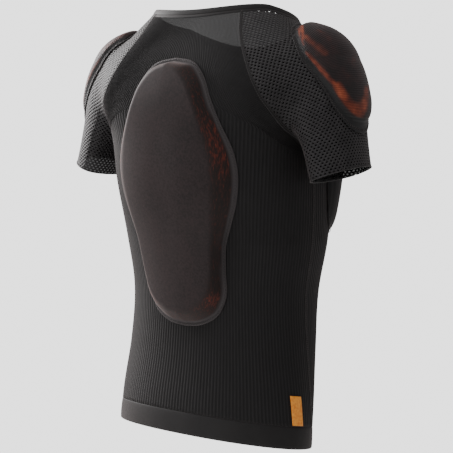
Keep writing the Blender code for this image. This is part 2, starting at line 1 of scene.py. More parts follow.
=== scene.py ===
"""Padded compression shirt: the finished looks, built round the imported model.

The worn form is the model's own: a trunk of oval rings blended with two upper arms. Panels and
sleeves are grids of points on that form. The knit's ribs, the holes of the sleeve mesh, the pads'
covers, the seams and their stitches are all laid out on those grids.
"""

import math
from functools import lru_cache

import bmesh
import bpy
import numpy as np
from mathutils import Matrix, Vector


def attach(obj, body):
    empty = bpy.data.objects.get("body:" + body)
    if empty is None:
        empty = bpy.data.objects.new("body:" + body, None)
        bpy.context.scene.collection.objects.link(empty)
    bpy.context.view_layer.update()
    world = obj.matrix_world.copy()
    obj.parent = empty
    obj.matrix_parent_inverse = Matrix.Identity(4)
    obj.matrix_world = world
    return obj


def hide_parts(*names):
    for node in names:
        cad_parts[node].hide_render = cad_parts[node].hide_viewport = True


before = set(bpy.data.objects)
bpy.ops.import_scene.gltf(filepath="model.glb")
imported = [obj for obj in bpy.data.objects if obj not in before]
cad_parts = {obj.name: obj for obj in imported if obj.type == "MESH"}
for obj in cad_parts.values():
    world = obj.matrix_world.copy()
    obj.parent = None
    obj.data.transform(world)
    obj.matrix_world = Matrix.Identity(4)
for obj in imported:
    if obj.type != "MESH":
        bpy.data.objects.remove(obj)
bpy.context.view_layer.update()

bl_info = {
    "name": "Padded compression shirt",
    "version": (1, 0, 0),
    "blender": (4, 5, 0),
    "location": "View3D > Sidebar > Shirt",
    "description": "Builds the cloth, pads, seams and stage of a padded compression shirt",
    "category": "Add Mesh",
}


# Driving sizes, in metres. Heights are measured up from the middle of the hem.
WALL = 0.0015
SEAM_GAP = 0.0003
ORIGIN_HEIGHT = 0.600
HEM_SLOPE = 0.222
HEM_BAND_HEIGHT = 0.0325
HEM_BAND_PROUD = 0.0006
FLANGE_THICKNESS = 0.0010
NECK_HEIGHT = 0.6160
NECK_SLOPE = 0.255
NECK_DIP = 0.019
NECK_HALF_WIDTH = 0.100
BINDING_HEIGHT = 0.0090
BINDING_THICKNESS = 0.0026
PAD_CLEARANCE = 0.0010
UNDERARM_LIFT = 0.060
ARMHOLE_TILT = 0.030

# Trunk rings: height, half width, depth of the back, depth of the front, squareness back and front.
TRUNK = np.array([
    (-0.040, 0.159, 0.111, -0.071, 2.15, 2.15),
    (0.000, 0.159, 0.111, -0.071, 2.15, 2.15),
    (0.060, 0.156, 0.106, -0.082, 2.20, 2.20),
    (0.140, 0.149, 0.093, -0.099, 2.25, 2.25),
    (0.220, 0.146, 0.089, -0.113, 2.30, 2.30),
    (0.300, 0.156, 0.098, -0.129, 2.40, 2.35),
    (0.380, 0.157, 0.116, -0.139, 2.75, 2.50),
    (0.450, 0.156, 0.121, -0.139, 3.20, 2.40),
    (0.510, 0.163, 0.120, -0.123, 4.20, 2.30),
    (0.560, 0.156, 0.107, -0.105, 3.10, 2.20),
    (0.600, 0.130, 0.086, -0.089, 2.50, 2.10),
    (0.640, 0.095, 0.065, -0.076, 2.10, 2.00),
    (0.680, 0.074, 0.058, -0.069, 2.00, 2.00),
    (0.720, 0.068, 0.056, -0.068, 2.00, 2.00),
])

# Upper arm: distance down from the shoulder joint, reach outward, reach inward, half depth.
ARM = np.array([
    (-0.030, 0.055, 0.055, 0.060),
    (0.000, 0.0645, 0.060, 0.069),
    (0.050, 0.0655, 0.038, 0.069),
    (0.100, 0.0545, 0.021, 0.065),
    (0.150, 0.0460, 0.024, 0.062),
    (0.240, 0.0460, 0.024, 0.062),
])
SHOULDER = np.array([-0.149, 0.000, 0.532])
ARM_OUT_DEG = 20.0
ARM_BACK_DEG = 5.0
CUFF_STATION = 0.147

# How softly trunk and arm run together: underarm and shoulder, and the heights between them.
BLEND_UNDERARM = 0.012
BLEND_SHOULDER = 0.028
BLEND_HEIGHTS = (0.440, 0.520)

# Raglan seams from underarm to neck: degrees round from the centre back or front, height.
# The rows after the first follow the underarm crease itself, at the height found there.
BACK_RAGLAN = np.array([
    (90.0, 0.4330), (82.0, 0.4370), (75.0, 0.4480), (69.5, 0.4550), (65.0, 0.4625), (60.5, 0.4735),
    (56.0, 0.4870), (51.5, 0.5050), (48.5, 0.5290), (47.0, 0.5570), (47.0, 0.5880), (52.0, 0.6250),
])
FRONT_RAGLAN = np.array([
    (90.0, 0.4330), (82.0, 0.4390), (75.0, 0.4470), (70.0, 0.4570), (66.5, 0.4670), (63.5, 0.4780),
    (60.5, 0.4910), (57.5, 0.5070), (55.0, 0.5270), (53.0, 0.5490), (51.5, 0.5690), (51.5, 0.5890),
])
BACK_CREASE_ROWS = 2
FRONT_CREASE_ROWS = 1
CREASE_ROWS = 2
CREASE_SHARES = (0.70, 0.40, 0.12)
PANEL_SAG = 0.09
SLEEVE_SAG = 0.016
SAG_POWER = 6
SAG_PEAK = 0.0567

# Grid counts.
SIDE_SHARES = (0.0, 0.09, 0.18, 0.27, 0.36, 0.45, 0.54, 0.63, 0.72, 0.81, 0.90, 0.975)
SIDE_ROWS = len(SIDE_SHARES)
RAGLAN_ROWS = len(BACK_RAGLAN) - 1
PANEL_COLUMNS = 22
SLEEVE_COLUMNS = 26
UNDERARM_SHARES = (0.08, 0.32, 0.56, 0.78, 1.0)
EDGE_STRIP = 0.022

# Back pad outline: height, half width of its footprint with the stitched flange.
BACK_PAD = np.array([
    (0.178, 0.000), (0.182, 0.028), (0.196, 0.052), (0.222, 0.065), (0.262, 0.067),
    (0.300, 0.071), (0.330, 0.082), (0.360, 0.093), (0.395, 0.099), (0.430, 0.095),
    (0.465, 0.081), (0.500, 0.066), (0.530, 0.052), (0.549, 0.034), (0.557, 0.000),
])
BACK_PAD_SPINE = (0.245, 0.490)
BACK_PAD_THICKNESS = 0.024
BACK_PAD_FLANGE = 0.006

# Chest pad outline: height, degrees round from the centre front.
CHEST_PAD = np.array([
    (0.293, 0.0), (0.296, 36.0), (0.303, 59.0), (0.319, 71.0), (0.353, 74.5), (0.390, 74.5),
    (0.419, 68.0), (0.438, 55.0), (0.455, 34.0), (0.460, 0.0),
])
CHEST_PAD_SPINE = (0.365, 0.420)
CHEST_METRES_PER_DEGREE = 0.0022
CHEST_PAD_THICKNESS = 0.017
CHEST_PAD_FLANGE = 0.004

# Shoulder pad: where its plan narrows to a line, in degrees of elevation, its centre and thickness.
SHOULDER_PAD_SPINE = (10.0, 65.0)
SHOULDER_PAD_CENTRE = np.array([-0.155, 0.006, 0.520])
SHOULDER_PAD_THICKNESS = 0.0075

# Hem tag on the wearer's right: degrees round from the centre back, heights, thickness.
TAG_ANGLES = (73.5, 80.5)
TAG_HEIGHTS = (0.0345, 0.0765)
TAG_THICKNESS = 0.0008
TAG_ROWS, TAG_COLUMNS = 33, 13
TAG_WEAVE = (20, 52)

# Cloth details that only show here, in metres.
SHELL = 0.0011
RIBS_ACROSS = 84
POINTS_PER_RIB = 4
RIB_FADE = 0.003
COURSE = 0.006
NET_THICKNESS = 0.0009
HOLE_SIDES = 8
# Depth and thickness of the dark sheet that paints shade behind the sleeve mesh's holes.
SHADE_SHEET_DEPTH = 0.0016
SHADE_SHEET_THICKNESS = 0.0004
CUFF_YARN = 0.0008
CUFF_STEP = 0.003
NET_KEPT = 0.62
HEM_COLUMNS = 240
BINDING_COLUMNS = 180
BINDING_SIDES = 16
BINDING_SQUARENESS = 0.7
SEAM_WIDTH = 0.0044
SEAM_HEIGHT = 0.0005
SEAM_FOOT = 0.0004
SEAM_STEP = 0.004
STITCH_GAP = 0.0014
STITCH_PITCH = 0.0030
PAD_STITCH_PITCH = 0.0022
BACK_BASE_HEIGHT = 0.0012
BACK_WALL_POWER = 1.9
CHEST_WALL = 0.024
CHEST_FALL = (0.262, 0.135, 0.2)
SHOULDER_WALL = 0.012
SHOULDER_PUFF = 0.4
BACK_CREASE = 0.75
PAD_ZIGZAG = 0.0030
BACK_ZIGZAG = 0.0036
HEM_INNER_DEPTH = 0.0012
MERGE = 2e-5

# How much of each knit is opaque, and the height under which the ribs let nothing through.
RIB_ALPHA = 0.965
RIB_INNER_ALPHA = 0.36
# The dark sheet of painted shade behind the sleeve mesh is this opaque.
SHADE_SHEET_ALPHA = 0.80
OPAQUE_BELOW = -0.30

# Cloth simulation of the pads' covers.
PAD_PRESSURE = 4.0
PUFF_FRAMES = 20
PUFF_QUALITY = 6
PUFF_STIFFNESS = 20.0

# Grids of the pads' covers: rows, places from edge to spine, width of the edge's own strip.
BACK_PAD_GRID = (105, 32, 0.03)
CHEST_PAD_GRID = (70, 30, 0.03)
SHOULDER_PAD_GRID = (73, 30, 0.02)

# Inset of the stitches from each pad's outline, and the place on its plan that they close in on.
BACK_STITCHES = (0.0028, (0.37, 0.0))
CHEST_STITCHES = (0.002, (0.385, 0.0))
SHOULDER_STITCHES = (1.8, (34.0, 0.0))

# Orange foam showing through on the back pad's wall: where it ends at the top and how softly, how softly it
# starts, and the heights and spreads of the painted highlights on it, over the least painted brightness
# elsewhere.
FOAM_WALL_TOP, FOAM_WALL_FADE, FOAM_WALL_FOOT = 0.985, 0.32, 0.06
WALL_PAINTED_HIGHLIGHTS = ((0.440, 0.050), (0.222, 0.014))
WALL_PAINTED_HIGHLIGHT_LEAST = 0.12
FLANGE_SHARE = 0.04

# The back pad's raised face: height, half width of the flat part between the two creases.
BACK_FACE = np.array([
    (0.205, 0.000), (0.210, 0.018), (0.226, 0.038), (0.262, 0.051), (0.310, 0.057), (0.360, 0.063),
    (0.410, 0.066), (0.455, 0.061), (0.490, 0.050), (0.516, 0.035), (0.532, 0.017), (0.538, 0.000),
])

# The shoulder pad's cover: degrees of elevation, half width in degrees, with its flat border.
SHOULDER_COVER = np.array([
    (-40.0, 0.0), (-38.0, 17.0), (-29.0, 33.0), (-10.0, 47.0), (18.0, 57.5),
    (42.0, 60.5), (68.0, 57.0), (88.0, 44.0), (102.0, 24.0), (107.0, 0.0),
])
SHOULDER_METRES_PER_DEGREE = 0.00115
SHOULDER_BORDER = 0.0100

# Fine grids: rows and columns.
PANEL_ROWS, PANEL_COLUMNS_FINE = 131, 161
SLEEVE_ROWS_FINE, SLEEVE_COLUMNS_FINE = 73, 151

# How finely rays are marched, and how often each repeated correction runs.
RAY_STEPS = 150
RAY_HALVINGS = 26
NECK_CORRECTIONS = 40
SEAM_CORRECTIONS = 30
SETTLE_STEPS = 14
FLATTEN_STEPS = 1500
FLATTEN_PUSH = 1.2
PLACE_STEPS = 26
PLACE_STRIDE = 6

# Studio: the camera stands where the photograph's did, the shirt floats above the floor.
EYE = (-0.889, 1.330, -0.1115)
LOOK_AT = (-0.0075, -0.005, -0.2873)
FLOOR_HEIGHT = -1.10
FLOOR_RADIUS = 1.35
FLOOR_SIDES = 96
LENS = 85.9
SENSOR = 36.0
SKY_SEEN = 2.4
SKY_LIGHT = 0.42
LAMPS = (
    ("rim_light", (1.95, 0.08, 0.60), 1.3, 112.0),
    ("top_light", (0.10, 1.10, 1.80), 1.2, 22.0),
    ("strip_light", (0.50, 1.90, -0.20), 0.7, 7.0),
)

# The left guard shows far less through its cover in the photo.
LEFT_GUARD_SHARE = 0.35

# Bright lines of the shoulder guard's rim: places by elevation and angle to the back, in degrees,
# the line's half width in degrees, and its strength.
GUARD_LINES = (
    (((92.0, 18.0), (84.0, 30.0), (77.0, 42.0)), 1.5, 0.8),
    (((92.0, 24.0), (82.0, 43.0), (74.0, 43.5)), 1.6, 0.8),
    (((78.0, 35.0), (62.0, 36.5), (44.0, 35.0)), 4.0, 0.35),
    (((63.0, 51.5), (43.0, 51.5), (22.7, 48.6), (5.1, 42.0), (-5.1, 34.5)), 2.6, 1.0),
    (((-5.0, 33.0), (-15.0, 28.0), (-21.5, 22.5), (-25.5, 15.0), (-25.5, 7.0), (-19.0, -1.0),
      (-9.0, -8.0)), 5.2, 0.95),
    (((-9.0, -8.0), (0.0, -26.0), (14.0, -41.0), (38.0, -49.0), (63.0, -48.0)), 3.2, 0.8),
)


def smooth_rows(table, at):
    """Each column of a table as a smooth curve through its rows, read at the values in at."""
    x, y = table[:, 0], table[:, 1:]
    step = np.diff(x)
    rise = np.diff(y, axis=0) / step[:, None]
    slope = np.zeros_like(y)
    slope[0], slope[-1] = rise[0], rise[-1]
    before, after = step[:-1, None], step[1:, None]
    slope[1:-1] = (rise[:-1] * after + rise[1:] * before) / (before + after)
    q = np.clip(np.asarray(at, float), x[0], x[-1])
    i = np.clip(np.searchsorted(x, q, side="right") - 1, 0, len(x) - 2)
    t = ((q - x[i]) / step[i])[..., None]
    h = step[i][..., None]
    start = (2 * t**3 - 3 * t**2 + 1) * y[i] + (t**3 - 2 * t**2 + t) * h * slope[i]
    end = (3 * t**2 - 2 * t**3) * y[i + 1] + (t**3 - t**2) * h * slope[i + 1]
    return start + end


def unit(v):
    return v / np.linalg.norm(v, axis=-1, keepdims=True)


def spans(points, axis=0):
    """Distances between neighbouring points of a line or a grid."""
    return np.linalg.norm(np.diff(points, axis=axis), axis=-1)


def running(steps):
    """Distance walked up to each point, from the steps between them."""
    return np.concatenate([[0.0], np.cumsum(steps)])


def resampled(rows, steps, count, endpoint=True):
    """Rows read again along smooth curves through them, at places an even walk apart."""
    walked = running(steps)
    places = np.linspace(0, walked[-1], count, endpoint=endpoint)
    return smooth_rows(np.column_stack([walked, rows]), places)


def from_middle(grid):
    """Distance of each point of a grid along its row, from the middle column."""
    walked = np.concatenate([np.zeros((len(grid), 1)), np.cumsum(spans(grid, 1), axis=1)], axis=1)
    middle = grid.shape[1] // 2
    return walked - walked[:, middle:middle + 1]


def for_side(points, side):
    """Points made for the wearer's right, mirrored for the left."""
    return points * ([-1.0, 1.0, 1.0] if side == "left" else [1.0, 1.0, 1.0])


def trunk_distance(p):
    """Rough distance outside the trunk's rings, negative inside."""
    half, back, front, back_power, front_power = np.moveaxis(smooth_rows(TRUNK, p[..., 2]), -1, 0)
    middle = 0.5 * (back + front)
    depth = 0.5 * (back - front)
    power = np.where(p[..., 1] > middle, back_power, front_power)
    across = np.abs(p[..., 0]) / half
    along = np.abs(p[..., 1] - middle) / depth
    size = (across**power + along**power) ** (1 / power) + 1e-9
    flat = np.hypot(p[..., 0], p[..., 1] - middle)
    nearby = 0.004
    above = smooth_rows(TRUNK, p[..., 2] + nearby)[..., 0]
    below = smooth_rows(TRUNK, p[..., 2] - nearby)[..., 0]
    lean = (above - below) / (2 * nearby)
    return flat * (1 - 1 / size) / np.sqrt(1 + lean**2)


def arm_direction():
    """The right arm's way down and out, leaning a little back."""
    out, back = math.radians(ARM_OUT_DEG), math.radians(ARM_BACK_DEG)
    return np.array([-math.sin(out) * math.cos(back), math.sin(back), -math.cos(out) * math.cos(back)])


def arm_distance(p):
    """Rough distance outside the nearer upper arm, negative inside."""
    along = arm_direction()
    q = np.stack([-np.abs(p[..., 0]), p[..., 1], p[..., 2]], -1) - SHOULDER
    station = np.clip(q @ along, 0.0, None)
    outer, inner, deep = np.moveaxis(smooth_rows(ARM, station), -1, 0)
    off = q - station[..., None] * along
    sideways = np.sqrt(np.maximum((off**2).sum(-1) - off[..., 1] ** 2, 0))
    across = np.where(off[..., 0] < 0, outer, inner)
    size = np.hypot(sideways / across, off[..., 1] / deep) + 1e-9
    return np.sqrt((off**2).sum(-1)) * (1 - 1 / size)


def form_distance(p):
    """The trunk and both arms as one smooth shape."""
    trunk, arm = trunk_distance(p), arm_distance(p)
    low, high = BLEND_HEIGHTS
    up = np.clip((p[..., 2] - low) / (high - low), 0, 1)
    blend = BLEND_UNDERARM + (BLEND_SHOULDER - BLEND_UNDERARM) * up * up * (3 - 2 * up)
    share = np.clip(0.5 + 0.5 * (arm - trunk) / blend, 0, 1)
    return arm + (trunk - arm) * share - blend * share * (1 - share)


def form_normal(p):
    """Outward direction of the form at points on it."""
    nearby = 0.0008
    steps = nearby * np.eye(3)
    slope = [form_distance(p + s) - form_distance(p - s) for s in steps]
    return unit(np.stack(slope, -1))


def cast(origin, direction, reach=0.30, steps=RAY_STEPS):
    """Where rays first leave the form: marched in equal steps, then halved."""
    direction = unit(np.asarray(direction, float))
    origin = np.broadcast_to(origin, direction.shape)
    t = np.linspace(0, reach, steps)
    marks = origin[..., None, :] + direction[..., None, :] * t[:, None]
    outside = form_distance(marks) > 0
    outside[..., 0] = False
    first = np.where(outside.any(-1), outside.argmax(-1), steps - 1)
    low, high = t[first - 1], t[first]
    for _ in range(RAY_HALVINGS):
        half = 0.5 * (low + high)
        inside = form_distance(origin + direction * half[..., None]) <= 0
        low, high = np.where(inside, half, low), np.where(inside, high, half)
    return origin + direction * (0.5 * (low + high))[..., None]


def round_direction(angle, rise):
    """Direction at an angle round from the centre back towards the wearer's right, rising by rise."""
    return np.stack([-np.sin(angle), np.cos(angle), rise + 0 * angle], -1)


def axis_point(height):
    return np.stack([0 * height, 0 * height, height], -1)


def neck_level(x, y):
    """Height of the neck edge: highest at the sides, dipping at the back and more at the front."""
    aside = np.minimum(1.0, (x / NECK_HALF_WIDTH) ** 2)
    return NECK_HEIGHT + NECK_SLOPE * y - NECK_DIP * (1 - aside)


def neck_slopes():
    """Slopes of the rays that meet the neck edge, found by repeated correction, centre back to front."""
    angle = np.linspace(0, math.pi, 121)
    rise = 0 * angle
    for _ in range(NECK_CORRECTIONS):
        p = cast(axis_point(NECK_ORIGIN + 0 * angle), round_direction(angle, rise))
        wanted = (neck_level(p[..., 0], p[..., 1]) - NECK_ORIGIN) / np.hypot(p[..., 0], p[..., 1])
        rise = 0.6 * rise + 0.4 * wanted
    return angle, rise


def neck_rise(angle):
    """Slope of the ray that meets the neck edge at each angle round from the centre back."""
    folded = np.abs((angle + math.pi) % (2 * math.pi) - math.pi)
    return np.interp(folded, *NECK_SLOPES)


def find_underarm():
    """The top of the hollow between trunk and right sleeve, in the upright plane through both."""
    across = np.linspace(-0.215, -0.135, 321)
    heights = np.linspace(0.36, 0.52, 641)
    x, z = np.meshgrid(across, heights)
    arm_x = SHOULDER[0] + (z - SHOULDER[2]) * arm_direction()[0] / arm_direction()[2]
    hollow = (form_distance(np.stack([x, 0 * x, z], -1)) > 0) & (x > arm_x)
    top = np.where(hollow.any(1))[0].max()
    return np.array([x[top][hollow[top]].mean(), 0.0, z[top, 0]])


NECK_ORIGIN = NECK_HEIGHT - 0.030
NECK_SLOPES = neck_slopes()
UNDERARM = find_underarm()
UNDERARM_ORIGIN = UNDERARM[2] + UNDERARM_LIFT
UNDERARM_RISE = UNDERARM_LIFT / UNDERARM[0]


def sag(inward):
    """A dip close to a seam that fades inward, so that rows leave the underarm at a clear angle."""
    return np.clip(1 - inward, 0, 1)**SAG_POWER * inward / SAG_PEAK


def side_row(share, centre, spread):
    """A row below the armpit: share 0 is the hem band's top edge, 1 the underarm."""
    angle = centre + spread * 0.5 * math.pi
    rise = HEM_SLOPE * np.cos(angle) * (1 - share) + UNDERARM_RISE * np.abs(np.sin(angle))**3 * share**1.5
    rise = rise - PANEL_SAG * share**4 * sag(1 - np.abs(spread))
    height = HEM_BAND_HEIGHT + share * (UNDERARM_ORIGIN - HEM_BAND_HEIGHT)
    return cast(axis_point(height + 0 * angle), round_direction(angle, rise))


def usual_rise(share, angle):
    """Slope of the rays above the armpit: share 0 is the underarm, 1 the neck edge."""
    return UNDERARM_RISE * np.abs(np.sin(angle))**3 * (1 - share) + neck_rise(angle) * share


def crease_aim(angle, origin):
    """The highest slope at which a ray still meets the trunk below the crease round the underarm."""
    aims = np.linspace(-0.60, 0.10, 701)
    p = cast(axis_point(origin + 0 * aims), round_direction(angle + 0 * aims, aims))
    jumps = np.diff(np.hypot(p[:, 0], p[:, 1])) > 0.004
    return aims[np.argmax(jumps)] if jumps.any() else None


def seam_plan(table, centre, crease_rows):
    """Everything a raglan row needs: share, ray origin, half angle and slope towards its seam point."""
    climbed = (table[:, 1] - table[0, 1]) / (table[-1, 1] - table[0, 1])
    share = 0.4 * np.linspace(0, 1, len(table)) + 0.6 * climbed
    origin = UNDERARM_ORIGIN + share * (NECK_ORIGIN - UNDERARM_ORIGIN)
    half = np.radians(table[:, 0])
    aim = (table[:, 1] - origin) / 0.15
    for _ in range(SEAM_CORRECTIONS):
        p = cast(axis_point(origin), round_direction(centre + half, aim))
        aim = 0.5 * aim + 0.5 * (table[:, 1] - origin) / np.hypot(p[:, 0], p[:, 1])
    for row in range(1, crease_rows + 1):
        aim[row] = crease_aim(centre + half[row], origin[row]) or aim[row]
    usual = np.array([usual_rise(k, centre + h) for k, h in zip(share, half)])
    extra = aim - usual
    extra[0] = extra[-1] = 0.0
    return centre, share, origin, half, extra


def raglan_row(plan, row, spread):
    """A row above the armpit: row 0 is the underarm and the last row the neck edge."""
    centre, share, origin, half, extra = plan
    angle = centre + spread * half[row]
    rise = usual_rise(share[row], angle) + extra[row] * np.abs(spread)**2
    rise = rise - PANEL_SAG * max(0, 1 - row / 8) * sag(1 - np.abs(spread))
    return cast(axis_point(origin[row] + 0 * angle), round_direction(angle, rise))


def edge_spread(count, crowding=0.0):
    """Positions from -1 to 1 with a narrow strip at each end, and crowded towards the ends if asked."""
    inner = np.linspace(-1, 1, count - 1)
    inner = inner * (1 + crowding * (1 - inner**2)) * (1 - EDGE_STRIP)
    return np.concatenate([[-1.0], inner, [1.0]])


def panel_grid(plan):
    """Rows from the hem band to the neck, columns from seam to seam, closer where the sides turn."""
    spread = edge_spread(PANEL_COLUMNS, 0.25)
    side = [side_row(share, plan[0], spread) for share in SIDE_SHARES]
    upper = [raglan_row(plan, row, spread) for row in range(RAGLAN_ROWS + 1)]
    return np.array(side + upper)


def settle(points):
    """Points moved onto the form along its own outward direction."""
    for _ in range(SETTLE_STEPS):
        points = points - form_normal(points) * form_distance(points)[..., None]
    return points


def plane_ring(centre, outward, edge_hint, sweep_from, sweep_to, count, ends=None):
    """Points of the form round a centre, in the plane of outward and edge_hint, evenly along the cloth."""
    e1 = unit(outward)
    e2 = unit(edge_hint - (edge_hint @ e1) * e1)
    turn = np.linspace(sweep_from, sweep_to, 6 * count + 1)
    direction = np.cos(turn)[:, None] * e1 + np.sin(turn)[:, None] * e2
    fine = cast(centre + 0 * direction, direction, reach=0.16)
    if ends:
        fine[0], fine[-1] = ends
    length = running(spans(fine))
    wanted = 0.5 * (edge_spread(count) + 1) * length[-1]
    return np.stack([np.interp(wanted, length, fine[:, k]) for k in range(3)], -1)


def trunk_neck_side():
    """Where the neck edge passes over the shoulder line."""
    angle = np.array([0.5 * math.pi])
    return cast(axis_point(NECK_ORIGIN + 0 * angle), round_direction(angle, neck_rise(angle)))[0]


def arm_point(station):
    return SHOULDER + arm_direction() * station


def row_between(first, last, share, back, front):
    """A row part way between two others, its ends drawn to the seam points."""
    row = first + (last - first) * share
    fade = np.clip(1 - np.arange(len(row)) / 5, 0, 1)[:, None] ** 2
    row = settle(row + fade * (back - row[0]) + fade[::-1] * (front - row[-1]))
    row[0], row[-1] = back, front
    return row


def sleeve_grid(back_plan, front_plan):
    """The right sleeve: rows from neck to cuff, columns from the back seam over the top to the front."""
    pivot = np.array([-0.100, 0.0, 0.490])
    down_arm = arm_direction()
    outward = unit(np.cross(down_arm, np.array([0.0, 1.0, 0.0])))
    outward = outward * np.sign(-outward[0])
    front_to_back = np.array([0.0, 1.0, 0.0])
    station = float((UNDERARM - SHOULDER) @ down_arm)
    ends = np.array([trunk_neck_side(), cast(arm_point(station - ARMHOLE_TILT), outward)])
    low, high = np.arctan2(ends[:, 2] - pivot[2], pivot[0] - ends[:, 0])[::-1]
    edge = np.array([1.0])
    rows = []
    for row in range(RAGLAN_ROWS, -1, -1):
        turn = low + (high - low) * (row / RAGLAN_ROWS) ** 0.95
        top = cast(pivot, np.array([-math.cos(turn), 0.0, math.sin(turn)]))
        back = raglan_row(back_plan, row, edge)[0]
        front = raglan_row(front_plan, row, -edge)[0]
        if row == 0:
            across, sweep = front_to_back, (math.pi, -math.pi)
        else:
            across = back - front
        centre = 0.5 * (0.5 * (back + front) + top)
        out = unit(top - centre)
        if row > 0:
            level = unit(across - (across @ out) * out)
            sweep = [math.atan2((p - centre) @ level, (p - centre) @ out) for p in (back, front)]
        rows.append(plane_ring(centre, out, across, *sweep, SLEEVE_COLUMNS, (back, front)))
    for share in UNDERARM_SHARES:
        place = centre + (arm_point(CUFF_STATION) - centre) * share
        tilt = unit(out * (1 - share) + outward * share)
        rows.append(plane_ring(place, tilt, front_to_back, math.pi, -math.pi, SLEEVE_COLUMNS))
    above, below = rows[RAGLAN_ROWS - CREASE_ROWS - 1], rows[RAGLAN_ROWS + 1]
    for row, share in zip(range(RAGLAN_ROWS - CREASE_ROWS, RAGLAN_ROWS + 1), CREASE_SHARES):
        rows[row] = row_between(below, above, share, rows[row][0], rows[row][-1])
    fine_edge = 1 - np.abs(edge_spread(SLEEVE_COLUMNS))
    for row in range(RAGLAN_ROWS - 4, len(rows) - 1):
        away = abs(row - RAGLAN_ROWS) / 5
        ends = rows[row][0], rows[row][-1]
        lower = SLEEVE_SAG * (1 - away) * sag(fine_edge)
        rows[row] = settle(rows[row] + lower[:, None] * down_arm)
        rows[row][0], rows[row][-1] = ends
    return np.array(rows)


def pad_plan(table, spine, grid, width_unit=1.0):
    """Flat plan of a pad: outline points from bottom to top, evenly apart, joined to its spine.

    Gives, for every row and every place across, the distance along the pad, the distance to the
    side as the outline measures it, and how far in from the outline the place is, 0 to 1.
    """
    rows, places, strip = grid
    rings = np.concatenate([[1.0], np.linspace(1 - strip, 0.0, places)])
    outline = resampled(table, spans(table * [1.0, width_unit]), rows)
    along, half = outline[:, 0], np.maximum(outline[:, 1], 0.0)
    centre = np.clip(along, *spine)
    across = np.concatenate([-rings, rings[::-1][1:]])
    inward = np.abs(across)
    length = centre[:, None] + (along - centre)[:, None] * inward
    side = half[:, None] * across
    return length, side, inward


def lowered(points):
    """Heights above the hem turned into the frame's own, whose origin is at the neck."""
    return points - np.array([0.0, 0.0, ORIGIN_HEIGHT])


def fine_surface(grid, spread, rows, columns):
    """A grid read along smooth curves through its rows and its columns, then put back on the form."""
    by_row = resampled(grid.reshape(len(grid), -1), spans(grid).mean(1), rows)
    by_row = by_row.reshape(rows, -1, grid.shape[-1])
    by_column = np.moveaxis(by_row, 1, 0).reshape(len(spread), -1)
    out = smooth_rows(np.column_stack([spread, by_column]), np.linspace(-1, 1, columns))
    return np.moveaxis(out.reshape(columns, rows, grid.shape[-1]), 1, 0)


def flattened(grid):
    """The grid laid flat with the least stretch, as a pattern cutter would: every side and diagonal
    of every cell pulls its two ends towards the length that it has on the form."""
    rows, columns = grid.shape[:2]
    down = running(spans(grid[:, columns // 2]))
    flat = np.stack([from_middle(grid), np.repeat(-down[:, None], columns, 1)], -1)
    index = np.arange(rows * columns).reshape(rows, columns)
    pairs = np.concatenate([np.stack([a.ravel(), b.ravel()], -1) for a, b in (
        (index[:, :-1], index[:, 1:]), (index[:-1], index[1:]),
        (index[:-1, :-1], index[1:, 1:]), (index[:-1, 1:], index[1:, :-1]))])
    p, q = grid.reshape(-1, 3), flat.reshape(-1, 2)
    wanted = np.linalg.norm(p[pairs[:, 0]] - p[pairs[:, 1]], axis=-1)
    uses = np.bincount(pairs.ravel(), minlength=len(p))[:, None]
    for _ in range(FLATTEN_STEPS):
        apart = q[pairs[:, 1]] - q[pairs[:, 0]]
        length = np.linalg.norm(apart, axis=-1) + 1e-9
        pull = apart * (0.5 * (1 - wanted / length))[:, None]
        move = np.zeros_like(q)
        np.add.at(move, pairs[:, 0], pull)
        np.add.at(move, pairs[:, 1], -pull)
        q = q + FLATTEN_PUSH * move / uses
    return q.reshape(rows, columns, 2)


def bilinear(grid, at):
    """A grid of values read between its points, at places given in rows and columns."""
    rows, columns = grid.shape[:2]
    i = np.clip(np.floor(at[:, 0]).astype(int), 0, rows - 2)
    j = np.clip(np.floor(at[:, 1]).astype(int), 0, columns - 2)
    u, v = (at[:, 0] - i)[:, None], (at[:, 1] - j)[:, None]
    top = grid[i, j] * (1 - v) + grid[i, j + 1] * v
    bottom = grid[i + 1, j] * (1 - v) + grid[i + 1, j + 1] * v
    return top * (1 - u) + bottom * u


def places_on(flat, wanted):
    """Rows and columns of a flat grid at which wanted points lie: the nearest of its points, then
    Newton's steps. Points outside end on the nearest edge. Also how far each one was missed by."""
    rows, columns = flat.shape[:2]
    sparse = flat[::PLACE_STRIDE, ::PLACE_STRIDE]
    coarse = sparse.reshape(-1, 2)
    near = np.concatenate([((part[:, None] - coarse) ** 2).sum(-1).argmin(1)
                           for part in np.array_split(wanted, max(1, len(wanted) // 4000))])
    wide = sparse.shape[1]
    at = np.stack([near // wide, near % wide], -1).astype(float) * PLACE_STRIDE
    limit = np.array([rows - 1, columns - 1], float)
    reach = 0.5
    for _ in range(PLACE_STEPS):
        base = np.clip(at, 0, limit - reach)
        here = bilinear(flat, base)
        down = (bilinear(flat, base + (reach, 0)) - here) / reach
        across = (bilinear(flat, base + (0, reach)) - here) / reach
        miss = wanted - bilinear(flat, at)
        size = down[:, 0] * across[:, 1] - down[:, 1] * across[:, 0]
        size = np.where(np.abs(size) < 1e-9, 1e-9, size)
        step = np.stack([miss[:, 0] * across[:, 1] - miss[:, 1] * across[:, 0],
                         down[:, 0] * miss[:, 1] - down[:, 1] * miss[:, 0]], -1) / size[:, None]
        at = np.clip(at + np.clip(step, -PLACE_STRIDE, PLACE_STRIDE), 0, limit)
    return at, np.linalg.norm(wanted - bilinear(flat, at), axis=-1)


